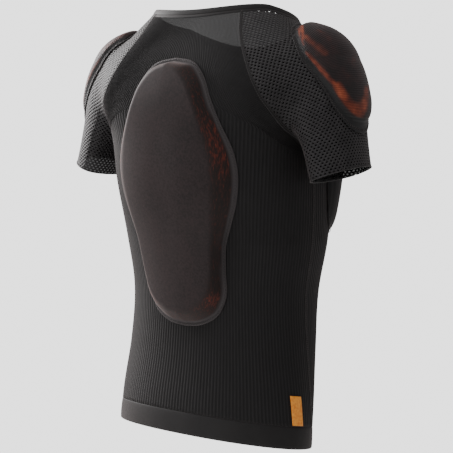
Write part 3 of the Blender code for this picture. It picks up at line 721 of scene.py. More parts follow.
def quads(rows, columns, closed=False, looped=False):
    """Corners of the quads between neighbouring rows and columns of a grid, as one array: closed joins
    the last column to the first, looped the last row to the first."""
    r, c = np.meshgrid(np.arange(rows - 1 + looped), np.arange(columns - 1 + closed), indexing="ij")
    below, after = (r + 1) % rows, (c + 1) % columns
    return np.stack([r * columns + c, r * columns + after, below * columns + after, below * columns + c],
                    -1).reshape(-1, 4)


def read_all(items, key, wide=1, kind=np.float32):
    """One property of every item of a mesh's collection, as an array."""
    values = np.zeros(wide * len(items), kind)
    items.foreach_get(key, values)
    return values.reshape(-1, wide) if wide > 1 else values


def make_piece(name, points, faces, material, slot, uv=None, values=None, merge=MERGE, closed=False):
    """A mesh object at the origin, riding on the shirt, with its UV map and point attributes. Points
    closer than merge are joined, and a closed mesh has its faces turned outwards."""
    mesh = bpy.data.meshes.new(name)
    faces = faces.tolist() if hasattr(faces, "tolist") else faces
    mesh.from_pydata(lowered(points.reshape(-1, 3)), [], faces)
    for key, value in (values or {}).items():
        made = mesh.attributes.new(key, "FLOAT", "POINT")
        made.data.foreach_set("value", np.asarray(value, np.float32).ravel())
    if uv is not None:
        corner = read_all(mesh.loops, "vertex_index", kind=np.int32)
        layer = mesh.uv_layers.new(name="cloth")
        layer.data.foreach_set("uv", uv.reshape(-1, 2)[corner].astype(np.float32).ravel())
    shape = bmesh.new()
    shape.from_mesh(mesh)
    if merge:
        bmesh.ops.remove_doubles(shape, verts=shape.verts, dist=merge)
        bmesh.ops.dissolve_degenerate(shape, edges=shape.edges, dist=merge)
        bmesh.ops.delete(shape, geom=[v for v in shape.verts if not v.link_faces], context="VERTS")
    if closed:
        bmesh.ops.recalc_face_normals(shape, faces=shape.faces)
    shape.to_mesh(mesh)
    shape.free()
    mesh.shade_smooth()
    mesh.materials.append(bpy.data.materials[material])
    piece = bpy.data.objects.new(name, mesh)
    bpy.context.scene.collection.objects.link(piece)
    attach(piece, "root")
    return piece


def walled(piece, thickness):
    """Turns a sheet's faces away from the wearer and gives it its thickness, towards the wearer."""
    mesh = piece.data
    middle = read_all(mesh.polygons, "center", 3).astype(float)
    facing = read_all(mesh.polygons, "normal", 3)
    if (form_normal(middle + [0, 0, ORIGIN_HEIGHT]) * facing).sum() < 0:
        mesh.flip_normals()
    wall = piece.modifiers.new("wall", "SOLIDIFY")
    wall.thickness = thickness
    wall.offset = -1.0
    return wall


def linear(code):
    """A colour written as an sRGB hex value, turned to linear numbers."""
    parts = np.array([int(code[k:k + 2], 16) for k in (1, 3, 5)]) / 255
    return (*np.where(parts <= 0.04045, parts / 12.92, ((parts + 0.055) / 1.055) ** 2.4), 1.0)


def add(tree, kind, inputs=(), stops=(), out=0, **settings):
    """Adds a node: sets its properties, gives its sockets values or links and its ramp its stops, and
    returns the wanted output."""
    node = tree.nodes.new("ShaderNode" + kind)
    for key, value in settings.items():
        setattr(node, key, value)
    for key, value in dict(inputs).items():
        if isinstance(value, bpy.types.NodeSocket):
            tree.links.new(value, node.inputs[key])
        else:
            node.inputs[key].default_value = value
    for _ in stops[2:]:
        node.color_ramp.elements.new(0.5)
    for element, (place, code) in zip(node.color_ramp.elements if stops else (), stops):
        element.position = place
        element.color = code
    return node.outputs[out]


def new_material(name):
    material = bpy.data.materials.new(name)
    material.use_nodes = True
    return material.node_tree, material.node_tree.nodes["Principled BSDF"]


def summed(tree, *parts):
    """The sum of several sockets, each times its share."""
    scaled = [add(tree, "Math", {0: source, 1: share}, operation="MULTIPLY") for source, share in parts]
    total = scaled[0]
    for part in scaled[1:]:
        total = add(tree, "Math", {0: total, 1: part}, operation="ADD")
    return total


def wave(tree, source, turns=1, operation="SINE"):
    """A wave with so many turns for each step of one in its source."""
    turn = add(tree, "Math", {0: source, 1: 2 * math.pi * turns}, operation="MULTIPLY")
    return add(tree, "Math", {0: turn}, operation=operation)


def cloth_look(tree, shader, look, colour, dull, height=None, relief=0.0):
    """What every cloth here shares: colour, low relief, and a dull surface with a soft light edge where
    it turns away. dull holds its roughness, its sheen and the sheen's own roughness."""
    settings = dict(zip(("Roughness", "Sheen Weight", "Sheen Roughness"), dull))
    settings.update({"IOR": 1.45, "Specular IOR Level": 0.35, "Sheen Tint": tuple(look.sheen)})
    for key, value in settings.items():
        shader.inputs[key].default_value = value
    if height is None:
        shader.inputs["Base Color"].default_value = tuple(colour)
        return
    tree.links.new(colour, shader.inputs["Base Color"])
    low = add(tree, "Bump", {"Height": height, "Distance": relief, "Strength": 1.0})
    tree.links.new(low, shader.inputs["Normal"])


def ribbed_knit(look, name, alpha):
    """Polyamide and elastane rib knit, knitted in upright ribs: dull ridges lightened by painted highlight
    over grooves darkened by painted shade.
    A little light passes between its stitches, so cloth with nothing behind it looks paler."""
    tree, shader = new_material(name)
    across = add(tree, "SeparateXYZ", {0: add(tree, "UVMap", uv_map="cloth")})
    ridge = add(tree, "Math", {0: wave(tree, across, operation="COSINE"), 1: 0.5, 2: 0.5},
                operation="MULTIPLY_ADD")
    # Courses of stitches run across every 1.2 mm: five for each step of the map along the wearer.
    course = wave(tree, across.node.outputs[1], 5)
    place = add(tree, "TexCoord", out="Object")
    cloud = add(tree, "TexNoise", {"Vector": place, "Scale": 34.0, "Detail": 3.0})
    fine = add(tree, "TexNoise", {"Vector": place, "Scale": 900.0, "Detail": 1.0})
    # Painted light: the ridges' cosine lightens the rib tops as a painted highlight and darkens the grooves
    # as painted shade.
    light = summed(tree, (ridge, 0.72), (cloud, 0.30), (fine, 0.16))
    stops = [(0.10, look.groove), (0.55, look.knit), (1.0, look.knit_light)]
    height = summed(tree, (course, 0.5), (fine, 1.2))
    cloth_look(tree, shader, look, add(tree, "ValToRGB", {0: light}, stops), (0.78, 0.16, 0.45), height,
               0.00012)
    # Only the yoke is seen against daylight: lower down the ribs are taken to close up.
    up = add(tree, "SeparateXYZ", {0: place}, out=2)
    low = add(tree, "Math", {0: up, 1: OPAQUE_BELOW}, operation="LESS_THAN")
    tree.links.new(add(tree, "Math", {0: low, 1: alpha}, operation="MAXIMUM"), shader.inputs["Alpha"])


def mesh_knit(look):
    """Polyester warp-knitted mesh: rounded dull yarns between open holes."""
    tree, shader = new_material("polyester_mesh_knit")
    place = add(tree, "TexCoord", out="Object")
    fine = add(tree, "TexNoise", {"Vector": place, "Scale": 1200.0, "Detail": 1.0})
    cloud = add(tree, "TexNoise", {"Vector": place, "Scale": 60.0, "Detail": 2.0})
    light = summed(tree, (fine, 0.5), (cloud, 0.5))
    stops = [(0.25, look.groove), (0.45, look.mesh), (0.8, look.mesh_light)]
    cloth_look(tree, shader, look, add(tree, "ValToRGB", {0: light}, stops), (0.62, 0.22, 0.40), fine,
               0.00015)


def shade_sheet_look(look):
    """A dark sheer sheet behind the mesh, standing in for shade: it paints shade in the holes and dims what
    lies behind them. The photo shows no such piece, only holes too dim for a single open mesh."""
    tree, shader = new_material("painted_shade_sheet")
    place = add(tree, "TexCoord", out="Object")
    fine = add(tree, "TexNoise", {"Vector": place, "Scale": 1500.0, "Detail": 1.0})
    stops = [(0.3, look.groove), (0.7, look.mesh_shade_sheet)]
    cloth_look(tree, shader, look, add(tree, "ValToRGB", {0: fine}, stops), (0.75, 0.05, 0.40), fine, 0.0001)
    shader.inputs["Alpha"].default_value = SHADE_SHEET_ALPHA


def band_knit(look):
    """Smooth double knit folded into the bindings: finer and flatter than the ribs."""
    tree, shader = new_material("smooth_binding_knit")
    place = add(tree, "TexCoord", out="Object")
    cloud = add(tree, "TexNoise", {"Vector": place, "Scale": 26.0, "Detail": 3.0})
    fine = add(tree, "TexNoise", {"Vector": place, "Scale": 1400.0, "Detail": 1.0})
    stops = [(0.3, look.band_dark), (0.7, look.band)]
    cloth_look(tree, shader, look, add(tree, "ValToRGB", {0: cloud}, stops), (0.70, 0.22, 0.45), fine,
               0.00012)


def cover_knit(look):
    """Brushed elastic knit stretched over foam: soft and dull, darker and reddish where the orange foam
    shows through it on the pad's walls, with painted highlights there. Its grain is drawn at 3 mm, or it
    wouldn't show."""
    tree, shader = new_material("brushed_cover_knit")
    place = add(tree, "TexCoord", out="Object")
    cloud = add(tree, "TexNoise", {"Vector": place, "Scale": 22.0, "Detail": 4.0})
    fine = add(tree, "TexNoise", {"Vector": place, "Scale": 1500.0, "Detail": 1.0})
    grain = add(tree, "TexNoise", {"Vector": place, "Scale": 330.0, "Detail": 3.0})
    patchy = summed(tree, (cloud, 0.35), (grain, 0.75))
    plain = add(tree, "ValToRGB", {0: patchy}, [(0.42, look.cover_dark), (0.68, look.cover)])
    long_way = add(tree, "Mapping", {"Vector": place, "Scale": (420.0, 420.0, 110.0)})
    glints = add(tree, "TexNoise", {"Vector": long_way, "Scale": 1.0, "Detail": 3.0, "Roughness": 0.65})
    shine, wall, flange = (add(tree, "Attribute", attribute_name=key, out="Fac")
                           for key in ("glint", "wall", "flange"))
    # The wall's colour: orange foam seen through the cover, brightened by painted highlights from the glint
    # attribute and the glinting noise.
    patch = summed(tree, (shine, 0.13), (glints, 0.80))
    foam_and_highlight = add(tree, "ValToRGB", {0: patch}, [(0.38, look.wall_dark), (0.50, look.wall),
                                              (0.62, look.orange_deep), (0.74, look.orange)])
    foam = add(tree, "Mix", {0: wall, 6: plain, 7: foam_and_highlight}, out=2, data_type="RGBA")
    colour = add(tree, "Mix", {0: flange, 6: foam, 7: tuple(look.flange)}, out=2, data_type="RGBA")
    cloth_look(tree, shader, look, colour, (0.72, 0.30, 0.50), fine, 0.00012)


def shoulder_knit(look):
    """Sheer ribbed cover over a moulded orange guard: the guard's rim shows through as bright
    streaks, the rest as a rusty dark."""
    tree, shader = new_material("sheer_knit_over_guard")
    along = add(tree, "SeparateXYZ", {0: add(tree, "UVMap", uv_map="cloth")}, out=1)
    line = wave(tree, along)
    place = add(tree, "TexCoord", out="Object")
    cloud = add(tree, "TexNoise", {"Vector": place, "Scale": 55.0, "Detail": 4.0})
    patch = summed(tree, (cloud, 1.0), (line, 0.05))
    dark = add(tree, "ValToRGB", {0: patch}, [(0.35, look.guard_dark), (0.62, look.guard),
                                              (0.80, look.guard_warm)])
    glow = add(tree, "ValToRGB", {0: patch}, [(0.30, look.orange_deep), (0.55, look.orange),
                                              (0.75, look.orange_light)])
    rim, border = (add(tree, "Attribute", attribute_name=key, out="Fac") for key in ("rim", "border"))
    streaky = add(tree, "Math", {0: cloud, 1: 1.1, 2: 0.45}, operation="MULTIPLY_ADD")
    shown = add(tree, "Math", {0: rim, 1: streaky}, operation="MULTIPLY")
    guard = add(tree, "Mix", {0: shown, 6: dark, 7: glow}, out=2, data_type="RGBA")
    colour = add(tree, "Mix", {0: border, 6: guard, 7: tuple(look.border)}, out=2, data_type="RGBA")
    cloth_look(tree, shader, look, colour, (0.60, 0.25, 0.40), line, 0.00018)


def plain_thread(look):
    """Twisted polyester sewing thread, a little lighter than the cloth."""
    cloth_look(*new_material("polyester_thread"), look, look.thread, (0.55, 0.30, 0.40))


def woven_tape(look):
    """Satin-woven orange tape: fine bright ribs across its width."""
    tree, shader = new_material("satin_woven_tape")
    rows = wave(tree, add(tree, "SeparateXYZ", {0: add(tree, "UVMap", uv_map="cloth")}, out=1))
    place = add(tree, "TexCoord", out="Object")
    cloud = add(tree, "TexNoise", {"Vector": place, "Scale": 300.0, "Detail": 2.0})
    shade = summed(tree, (rows, 0.10), (cloud, 1.0))
    colour = add(tree, "ValToRGB", {0: shade}, [(0.35, look.tag_dark), (0.60, look.tag)])
    cloth_look(tree, shader, look, colour, (0.48, 0.10, 0.40), rows, 0.00010)


def white_studio():
    """A white surround: bright behind the shirt, softer as light on it."""
    world = bpy.data.worlds.new("studio")
    world.use_nodes = True
    tree = world.node_tree
    light = tree.nodes["Background"]
    light.inputs["Color"].default_value = (1.0, 1.0, 1.0, 1.0)
    light.inputs["Strength"].default_value = SKY_LIGHT
    seen = add(tree, "Background", {"Color": (1.0, 1.0, 1.0, 1.0), "Strength": SKY_SEEN})
    path = add(tree, "LightPath", out="Is Camera Ray")
    mix = add(tree, "MixShader", {0: path, 1: light.outputs[0], 2: seen})
    tree.links.new(mix, tree.nodes["World Output"].inputs[0])
    return world


def matte_paper(look):
    """Plain pale studio paper for the floor."""
    _, shader = new_material("matte_studio_paper")
    shader.inputs["Base Color"].default_value = tuple(look.floor)
    shader.inputs["Roughness"].default_value = 0.9


def ribbed_sheet(grid, depth):
    """Points of a ribbed panel: on each row, columns a quarter of a rib apart, measured along the cloth
    from the centre line, so that the ribs narrow with the panel. Ribs stand out by a cosine of the
    rib count and fade at the seams."""
    along = from_middle(grid)
    ribs_half = RIBS_ACROSS // 2
    ribs = np.linspace(-ribs_half, ribs_half, 2 * ribs_half * POINTS_PER_RIB + 1)
    points = np.empty((len(grid), len(ribs), 3))
    inside = np.empty((len(grid), len(ribs)))
    for row, pitch in enumerate(rib_pitches(grid)):
        at = np.clip(ribs * pitch, along[row, 0], along[row, -1])
        points[row] = np.stack([np.interp(at, along[row], grid[row, :, k]) for k in range(3)], -1)
        room = np.minimum(at - along[row, 0], along[row, -1] - at)
        inside[row] = np.clip((room - 0.5 * SEAM_WIDTH) / RIB_FADE, 0, 1)
    points = points + form_normal(points) * (0.5 * depth * inside * np.cos(2 * np.pi * ribs))[..., None]
    down = running(spans(grid[:, grid.shape[1] // 2])) / COURSE
    uv = np.stack([np.repeat(ribs[None], len(grid), 0), np.repeat(down[:, None], len(ribs), 1)], -1)
    return points, uv


def rib_pitches(grid):
    """Width of one rib on every row: the panel's width over the rib count."""
    return spans(grid, 1).sum(1) / RIBS_ACROSS


def net_cells(flat, pitch, row, hole_wide, hole_tall):
    """Flat points of a mesh knit: diamond cells in offset rows, each with a ring of quads round an
    oval hole. The ring's eight outer points are the diamond's corners and the middles of its sides."""
    low, high = flat.reshape(-1, 2).min(0) - pitch, flat.reshape(-1, 2).max(0) + pitch
    j, i = np.meshgrid(np.arange(int((high[1] - low[1]) / row) + 1),
                       np.arange(int((high[0] - low[0]) / pitch) + 1), indexing="ij")
    centre = np.stack([low[0] + (i + 0.5 * (j % 2)) * pitch, low[1] + j * row], -1).reshape(-1, 2)
    corner = np.array([(0.5, 0.0), (0.0, 1.0), (-0.5, 0.0), (0.0, -1.0)]) * [pitch, row]
    ring = np.stack([corner, 0.5 * (corner + np.roll(corner, -1, axis=0))], 1).reshape(-1, 2)
    turn = np.radians(45 * np.arange(HOLE_SIDES))
    oval = 0.5 * np.stack([hole_wide * np.cos(turn), hole_tall * np.sin(turn)], -1)
    return centre, centre[:, None] + ring, centre[:, None] + oval


def net_sheet(grid, flat, pitch, row, hole_wide, hole_tall):
    """Points and quads of the mesh knit on a sleeve's form, cells outside its cut left out."""
    centre, outer, hole = net_cells(flat, pitch, row, hole_wide, hole_tall)
    _, missed = places_on(flat, centre)
    kept = missed < NET_KEPT * pitch
    outer, hole = outer[kept], hole[kept]
    cells = len(outer)
    wanted = np.concatenate([outer.reshape(-1, 2), hole.reshape(-1, 2)])
    at, missed = places_on(flat, wanted)
    points = bilinear(grid, at)
    k = np.arange(cells * HOLE_SIDES).reshape(cells, HOLE_SIDES)
    after = np.roll(k, -1, axis=1)
    shift = cells * HOLE_SIDES
    faces = np.stack([k, after, after + shift, k + shift], -1).reshape(-1, 4)
    seen = (missed.reshape(-1)[faces] < 1e-4).any(1)
    return points, faces[seen], wanted / pitch


def seam_frame(line, closed=False):
    """Along a seam line on the form: outward direction and the direction across it."""
    normal = form_normal(line)
    if closed:
        ahead = unit(np.roll(line, -1, axis=0) - np.roll(line, 1, axis=0))
    else:
        ahead = unit(np.gradient(line, axis=0))
    across = unit(np.cross(normal, ahead))
    return normal, across, ahead


def even_line(line, step, closed=False):
    """A line of points read again at even steps along it."""
    if closed:
        line = np.concatenate([line, line[:1]])
    steps = spans(line)
    return resampled(line, steps, max(4, int(round(steps.sum() / step))), endpoint=not closed)


def seam_tape(line, width, height, closed=False):
    """A flat-locked seam: a low rounded ridge carried along the line, its feet on the form. The
    section's height is one less the fourth power of the distance across."""
    _, across, _ = seam_frame(line, closed)
    side = np.array([-1.0, -0.8, -0.45, 0.0, 0.45, 0.8, 1.0])
    rise = height * (1 - side**4)
    flat = settle(line[:, None] + across[:, None] * (0.5 * width * side)[None, :, None])
    normal = form_normal(flat)
    under = flat[:, ::-1] - normal[:, ::-1] * SEAM_FOOT
    ring = np.concatenate([flat + normal * rise[None, :, None], under], axis=1)
    rows, columns = ring.shape[:2]
    faces = quads(rows, columns, closed=True, looped=closed).tolist()
    if not closed:
        faces += [list(range(columns))[::-1], list(range((rows - 1) * columns, rows * columns))]
    return ring.reshape(-1, 3), faces


def stitches(start, end, up, width):
    """One thread for each start and end: a spindle with four sides and three rings, lying along
    the line between them, bowed out in the middle by its own width."""
    ahead = end - start
    side = unit(np.cross(ahead, up))
    stations = np.array([0.0, 0.12, 0.5, 0.88, 1.0])
    thick = np.array([0.10, 0.85, 1.0, 0.85, 0.10]) * 0.5 * width
    bow = np.array([-0.2, 0.25, 0.6, 0.25, -0.2]) * width
    turn = np.radians([45, 135, 225, 315])
    centre = start[:, None] + ahead[:, None] * stations[None, :, None] + up[:, None] * bow[None, :, None]
    ring = (np.cos(turn)[None, None, :, None] * side[:, None, None]
            + np.sin(turn)[None, None, :, None] * up[:, None, None]) * thick[None, :, None, None]
    points = (centre[:, :, None] + ring).reshape(len(start), -1, 3)
    local = np.concatenate([quads(len(stations), 4, closed=True), [[3, 2, 1, 0]],
                            [[16, 17, 18, 19]]])
    faces = (local[None] + (np.arange(len(start)) * 20)[:, None, None]).reshape(-1, 4)
    return points.reshape(-1, 3), faces


def stitch_row(line, gap, pitch, lift, closed=False, zigzag=0.0):
    """Thread ends of a row of stitches beside a line: straight ones, or zigzag ones that cross it."""
    line = even_line(line, pitch, closed)
    normal, across, ahead = seam_frame(line, closed)
    middle = settle(line + across * gap) + normal * lift
    if zigzag:
        swing = across * (0.5 * zigzag) * np.where(np.arange(len(line)) % 2, 1.0, -1.0)[:, None]
        ends = middle + swing
        if closed and len(line) % 2:
            ends = ends[:-1]
            normal = normal[:-1]
        start, end = (ends, np.roll(ends, -1, axis=0)) if closed else (ends[:-1], ends[1:])
        return start, end, normal[:len(start)]
    reach = 0.36 * pitch
    return middle - ahead * reach, middle + ahead * reach, normal


def thread_piece(name, rows, width):
    """All stitches of a seam as one joined mesh."""
    count, points, faces = 0, [], []
    for row in rows:
        made, corners = stitches(*row, width)
        points.append(made)
        faces.append(corners + count)
        count += len(made)
    points, faces = np.concatenate(points), np.concatenate(faces)
    return make_piece(name, points, faces, "polyester_thread", "rib_knit", merge=0)


def pad_cover(name, place, plan, height, free, material, slot, mask, sizes):
    """A closed pad: cover over cloth, height given for every point of its plan, base on the form."""
    length, side, _ = plan
    base = place(length, side)
    normal = form_normal(base)
    upper = base + normal * (BACK_BASE_HEIGHT + height)[..., None]
    lower = base + normal * BACK_BASE_HEIGHT * 0.5
    rows, columns = base.shape[:2]
    count = rows * columns
    top = quads(rows, columns)
    r = np.arange(rows - 1) * columns
    walls = [np.stack([r + c, r + columns + c, r + columns + c + count, r + c + count], -1)
             for c in (0, columns - 1)]
    faces = np.concatenate([top, top[:, ::-1] + count, *walls])
    points = np.concatenate([upper.reshape(-1, 3), lower.reshape(-1, 3)])
    values = {key: np.concatenate([value.ravel(), value.ravel()]) for key, value in mask.items()}
    values["free"] = np.concatenate([free.ravel(), 0 * free.ravel()])
    uv = np.stack([side, length], -1) / sizes
    return make_piece(name, points, faces, material, slot, values=values, closed=True,
                      uv=np.concatenate([uv.reshape(-1, 2)] * 2))


def puffed(piece, cap):
    """Cloth simulation of a cover over foam: pressure swells it, the stitched flange is pinned, no
    point moves further than cap, and the result is kept in the mesh. The point attribute free is 0
    where the cover is pinned."""
    mesh = piece.data
    free = read_all(mesh.attributes["free"].data, "value")
    rest = read_all(mesh.vertices, "co", 3)
    pins = piece.vertex_groups.new(name="flange")
    pins.add(np.where(free < 0.5)[0].tolist(), 1.0, "REPLACE")
    cloth = piece.modifiers.new("cloth", "CLOTH")
    cloth.settings.quality = PUFF_QUALITY
    cloth.settings.use_pressure = True
    cloth.settings.uniform_pressure_force = PAD_PRESSURE
    cloth.settings.vertex_group_mass = "flange"
    cloth.settings.effector_weights.gravity = 0.0
    cloth.settings.tension_stiffness = PUFF_STIFFNESS
    cloth.settings.compression_stiffness = PUFF_STIFFNESS
    scene = bpy.context.scene
    for step in range(1, PUFF_FRAMES + 1):
        scene.frame_set(step)
    evaluated = piece.evaluated_get(bpy.context.evaluated_depsgraph_get())
    shift = read_all(evaluated.data.vertices, "co", 3) - rest
    piece.modifiers.remove(cloth)
    piece.vertex_groups.clear()
    length = np.linalg.norm(shift, axis=1, keepdims=True) + 1e-9
    shift = shift * np.minimum(1, cap / length) * free[:, None]
    raised = (rest + shift).astype(float) + [0, 0, ORIGIN_HEIGHT]
    sunk = np.clip(0.5 * BACK_BASE_HEIGHT - form_distance(raised), 0, None)
    raised = raised + form_normal(raised) * sunk[:, None]
    mesh.vertices.foreach_set("co", lowered(raised).astype(np.float32).ravel())
    mesh.update()
    scene.frame_set(1)


def tube(line, radius, sides=8):
    """A round yarn carried along a closed line on the form: rings square to the line's way."""
    normal, across, _ = seam_frame(line, closed=True)
    turn = np.linspace(0, 2 * math.pi, sides, endpoint=False)
    ring = (line[:, None] + radius * (np.cos(turn)[None, :, None] * normal[:, None]
                                      + np.sin(turn)[None, :, None] * across[:, None]))
    return ring, quads(len(line), sides, closed=True, looped=True)


def hem_section():
    """The hem band: a flat folded strip, rounded at its fold, that swells a little between fold and
    seam. Each outer row is the form moved out; the inner rows are the wall's depth inside them."""
    turn = np.linspace(0, 2 * math.pi, HEM_COLUMNS, endpoint=False)
    top = HEM_BAND_HEIGHT - SEAM_GAP
    share = np.array([0.0, 0.02, 0.06, 0.15, 0.30, 0.45, 0.60, 0.75, 0.88, 0.95, 1.0])
    proud = HEM_BAND_PROUD * np.array([-1.2, 0.2, 0.9, 1.25, 1.45, 1.5, 1.4, 1.2, 0.8, 0.3, -0.2])
    inner_share = np.array([1.0, 0.8, 0.5, 0.2, 0.02])
    proud = np.concatenate([proud, -HEM_INNER_DEPTH + 0 * inner_share])
    rows = []
    for part, out in zip(np.concatenate([share, inner_share]), proud):
        start = axis_point(part * top + 0 * turn)
        row = cast(start, round_direction(turn, HEM_SLOPE * np.cos(turn)))
        rows.append(row + form_normal(row) * out)
    ring = np.moveaxis(np.array(rows), 0, 1)
    return ring, quads(*ring.shape[:2], closed=True, looped=True)


def neck_edge(count):
    """The neck edge: rays from the neck's axis, one for each angle round, and their outward frame."""
    turn = np.linspace(0, 2 * math.pi, count, endpoint=False)
    edge = cast(axis_point(NECK_ORIGIN + 0 * turn), round_direction(turn, neck_rise(turn)))
    normal = form_normal(edge)
    ahead = unit(np.roll(edge, -1, axis=0) - np.roll(edge, 1, axis=0))
    up = unit(np.cross(normal, ahead))
    up = np.where((up[:, 2] < 0)[:, None], -up, up)
    up = unit(up + np.array([0.0, 0.0, 0.35]))
    out = unit(np.cross(ahead, up))
    return edge, up, np.where(((out * normal).sum(-1) < 0)[:, None], -out, out)


def neck_section():
    """The neck binding: a rounded section whose height and width follow a power of sine and cosine."""
    edge, up, out = neck_edge(BINDING_COLUMNS)
    turn = np.linspace(0, 2 * math.pi, BINDING_SIDES, endpoint=False)
    high, wide = (np.sign(part) * np.abs(part) ** BINDING_SQUARENESS * 0.5 * size for part, size in (
        (np.sin(turn), BINDING_HEIGHT), (np.cos(turn), BINDING_THICKNESS)))
    middle = edge - out * 0.5 * WALL + up * (0.5 * BINDING_HEIGHT + 2.5 * SEAM_GAP)
    ring = middle[:, None] + high[None, :, None] * up[:, None] + wide[None, :, None] * out[:, None]
    return ring, quads(*ring.shape[:2], closed=True, looped=True)


def finish_pad(pad, node):
    """Smooths a pad's cover and puts it in the place of its plain solid."""
    round_off = pad.modifiers.new("round", "SUBSURF")
    round_off.levels = 1
    round_off.render_levels = 1
    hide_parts(node)


def guard_rim(plan):
    """Share of bright guard rim under the cover: lines on the pad's plan, fading off sideways."""
    points = np.stack(plan[:2], -1)
    shown = np.zeros(points.shape[:-1])
    for line, half, strength in GUARD_LINES:
        for start, end in zip(np.array(line[:-1]), np.array(line[1:])):
            off = off_segment(points, start, end)
            shown = np.maximum(shown, strength * np.clip(1.35 - off / half, 0, 1))
    return shown


def seam_lines():
    """Every seam between pieces of cloth, by name."""
    lines = []
    for which, (end, sides) in enumerate((("back", ("left", "right")), ("front", ("right", "left")))):
        grid, corner = fine_panel(which), armpit_row(which)
        for column, side in zip((0, -1), sides):
            lines.append((f"{end}_raglan_{side}", grid[corner:, column]))
            if which == 0:
                lines.append((f"side_{side}", grid[:corner + 1, column]))
    grid, _ = fine_sleeve()
    under = grid[int(SLEEVE_ROWS_FINE * 0.55):, 0]
    return lines + [("underarm_right", under[form_distance(under) < 1]),
                    ("underarm_left", for_side(under, "left"))]


def pad_lines():
    """The stitched line round each pad's flange, its height over the form, and the width it crosses."""
    def inset(table, count, stitches):
        ring = outline_of(table, count)
        return (ring - unit(ring - [stitches[1]]) * stitches[0]).T

    back = inset(BACK_PAD, 120, BACK_STITCHES)
    chest = inset(CHEST_PAD * [1.0, CHEST_METRES_PER_DEGREE], 90, CHEST_STITCHES)
    shoulder = on_shoulder(*inset(SHOULDER_COVER, 90, SHOULDER_STITCHES))
    lift = BACK_BASE_HEIGHT + FLANGE_THICKNESS
    lines = [("back_pad", on_back(*back), lift, BACK_ZIGZAG),
             ("chest_pad", on_chest(chest[0], chest[1] / CHEST_METRES_PER_DEGREE), lift, 0.0)]
    return lines + [("shoulder_right", shoulder, lift, PAD_ZIGZAG),
                    ("shoulder_left", for_side(shoulder, "left"), lift, PAD_ZIGZAG)]


@lru_cache(maxsize=None)
def seam_plans():
    return (seam_plan(BACK_RAGLAN, 0.0, BACK_CREASE_ROWS),
            seam_plan(FRONT_RAGLAN, math.pi, FRONT_CREASE_ROWS))


@lru_cache(maxsize=None)
def fine_panel(which):
    """A panel's surface, 0 the back and 1 the front, with its rows about 5 mm apart."""
    grid = panel_grid(seam_plans()[which])
    return settle(fine_surface(grid, edge_spread(PANEL_COLUMNS, 0.25), PANEL_ROWS, PANEL_COLUMNS_FINE))


@lru_cache(maxsize=None)
def fine_sleeve():
    """The right sleeve's surface and, for the same points, its flat cut."""
    kept = [0, *range(2, SLEEVE_COLUMNS - 1), SLEEVE_COLUMNS]
    grid = sleeve_grid(*seam_plans())[:, kept]
    both = np.concatenate([grid, flattened(grid)], -1)
    spread = edge_spread(SLEEVE_COLUMNS)[kept]
    fine = fine_surface(both, spread, SLEEVE_ROWS_FINE, SLEEVE_COLUMNS_FINE)
    return settle(fine[..., :3]), fine[..., 3:]


def armpit_row(which):
    """The row of a fine panel at which its side seam ends and its raglan seams start."""
    steps = spans(panel_grid(seam_plans()[which])).mean(1)
    return int(round(steps[:SIDE_ROWS].sum() / steps.sum() * (PANEL_ROWS - 1)))


def off_segment(points, start, end):
    """Distance from flat points to the straight line between start and end."""
    way = end - start
    t = np.clip(((points - start) @ way) / (way @ way + 1e-12), 0, 1)
    return np.linalg.norm(points - start - t[..., None] * way, axis=-1)


def distance_to(line, points):
    """Shortest distance from flat points to a closed flat line given by close points."""
    out = np.full(points.shape[:-1], np.inf)
    for start, end in zip(line, np.roll(line, -1, axis=0)):
        out = np.minimum(out, off_segment(points, start, end))
    return out


def outline_of(table, count=90):
    """A pad's outline as a closed flat line: up one side, down the other."""
    side = resampled(table, spans(table), count)
    return np.concatenate([side, (side * [1, -1])[::-1][1:-1]])


def pad_heights(plan, table, flange, thickness, unit_size, steep, face=None):
    """Height of a pad's cover over its base, and how far up its wall each point is, 0 to 1.

    The wall rises from the flange as one less a power of what is left of it. Its foot is the
    outline. Its top is the crease round the pad's face where one is given, and otherwise a
    set distance in.
    """
    length, side, _ = plan
    points = np.stack([length * unit_size[0], side * unit_size[1]], -1)
    edge = distance_to(outline_of(table * np.array(unit_size)), points)
    out = np.clip(edge - flange, 0, None)
    if face is None:
        rise = np.clip(out / steep, 0, 1)
        height = np.sqrt(1 - (1 - rise) ** 2)
    else:
        inner = distance_to(outline_of(face), points)
        inside = np.abs(side) < np.interp(length, face[:, 0], face[:, 1])
        rise = np.where(inside, 1.0, out / (out + inner + 1e-9))
        height = 1 - (1 - rise) ** BACK_WALL_POWER
        height = height + np.where(inside, 0.10 * (1 - (1 - np.clip(inner / 0.05, 0, 1)) ** 2), 0.0)
    return FLANGE_THICKNESS + (thickness - FLANGE_THICKNESS) * height, rise, edge


def on_back(length, side):
    """On the back at a height and a distance to the right of the spine."""
    start = np.stack([-side, 0.02 + 0 * side, length], -1)
    return cast(start, np.broadcast_to([0.0, 1.0, 0.0], start.shape), reach=0.16)


def on_chest(length, side):
    """On the chest at a height and an angle round from the centre front."""
    return cast(axis_point(length), round_direction(math.pi - np.radians(side), 0.0))


def on_shoulder(length, side):
    """On the right shoulder, seen from its centre at an elevation and an angle to the back."""
    lift, turn = np.radians(length), np.radians(side)
    direction = np.stack([-np.cos(lift) * np.cos(turn), np.sin(turn), np.sin(lift) * np.cos(turn)], -1)
    return cast(np.broadcast_to(SHOULDER_PAD_CENTRE, direction.shape), direction, reach=0.16)


def free_share(rise, crease):
    """How freely each point of a cover may swell: none on the flange, less at a crease."""
    free = np.clip(rise / 0.25, 0, 1)
    return free * (1 - crease * np.clip(1 - np.abs(rise - 0.97) / 0.10, 0, 1))


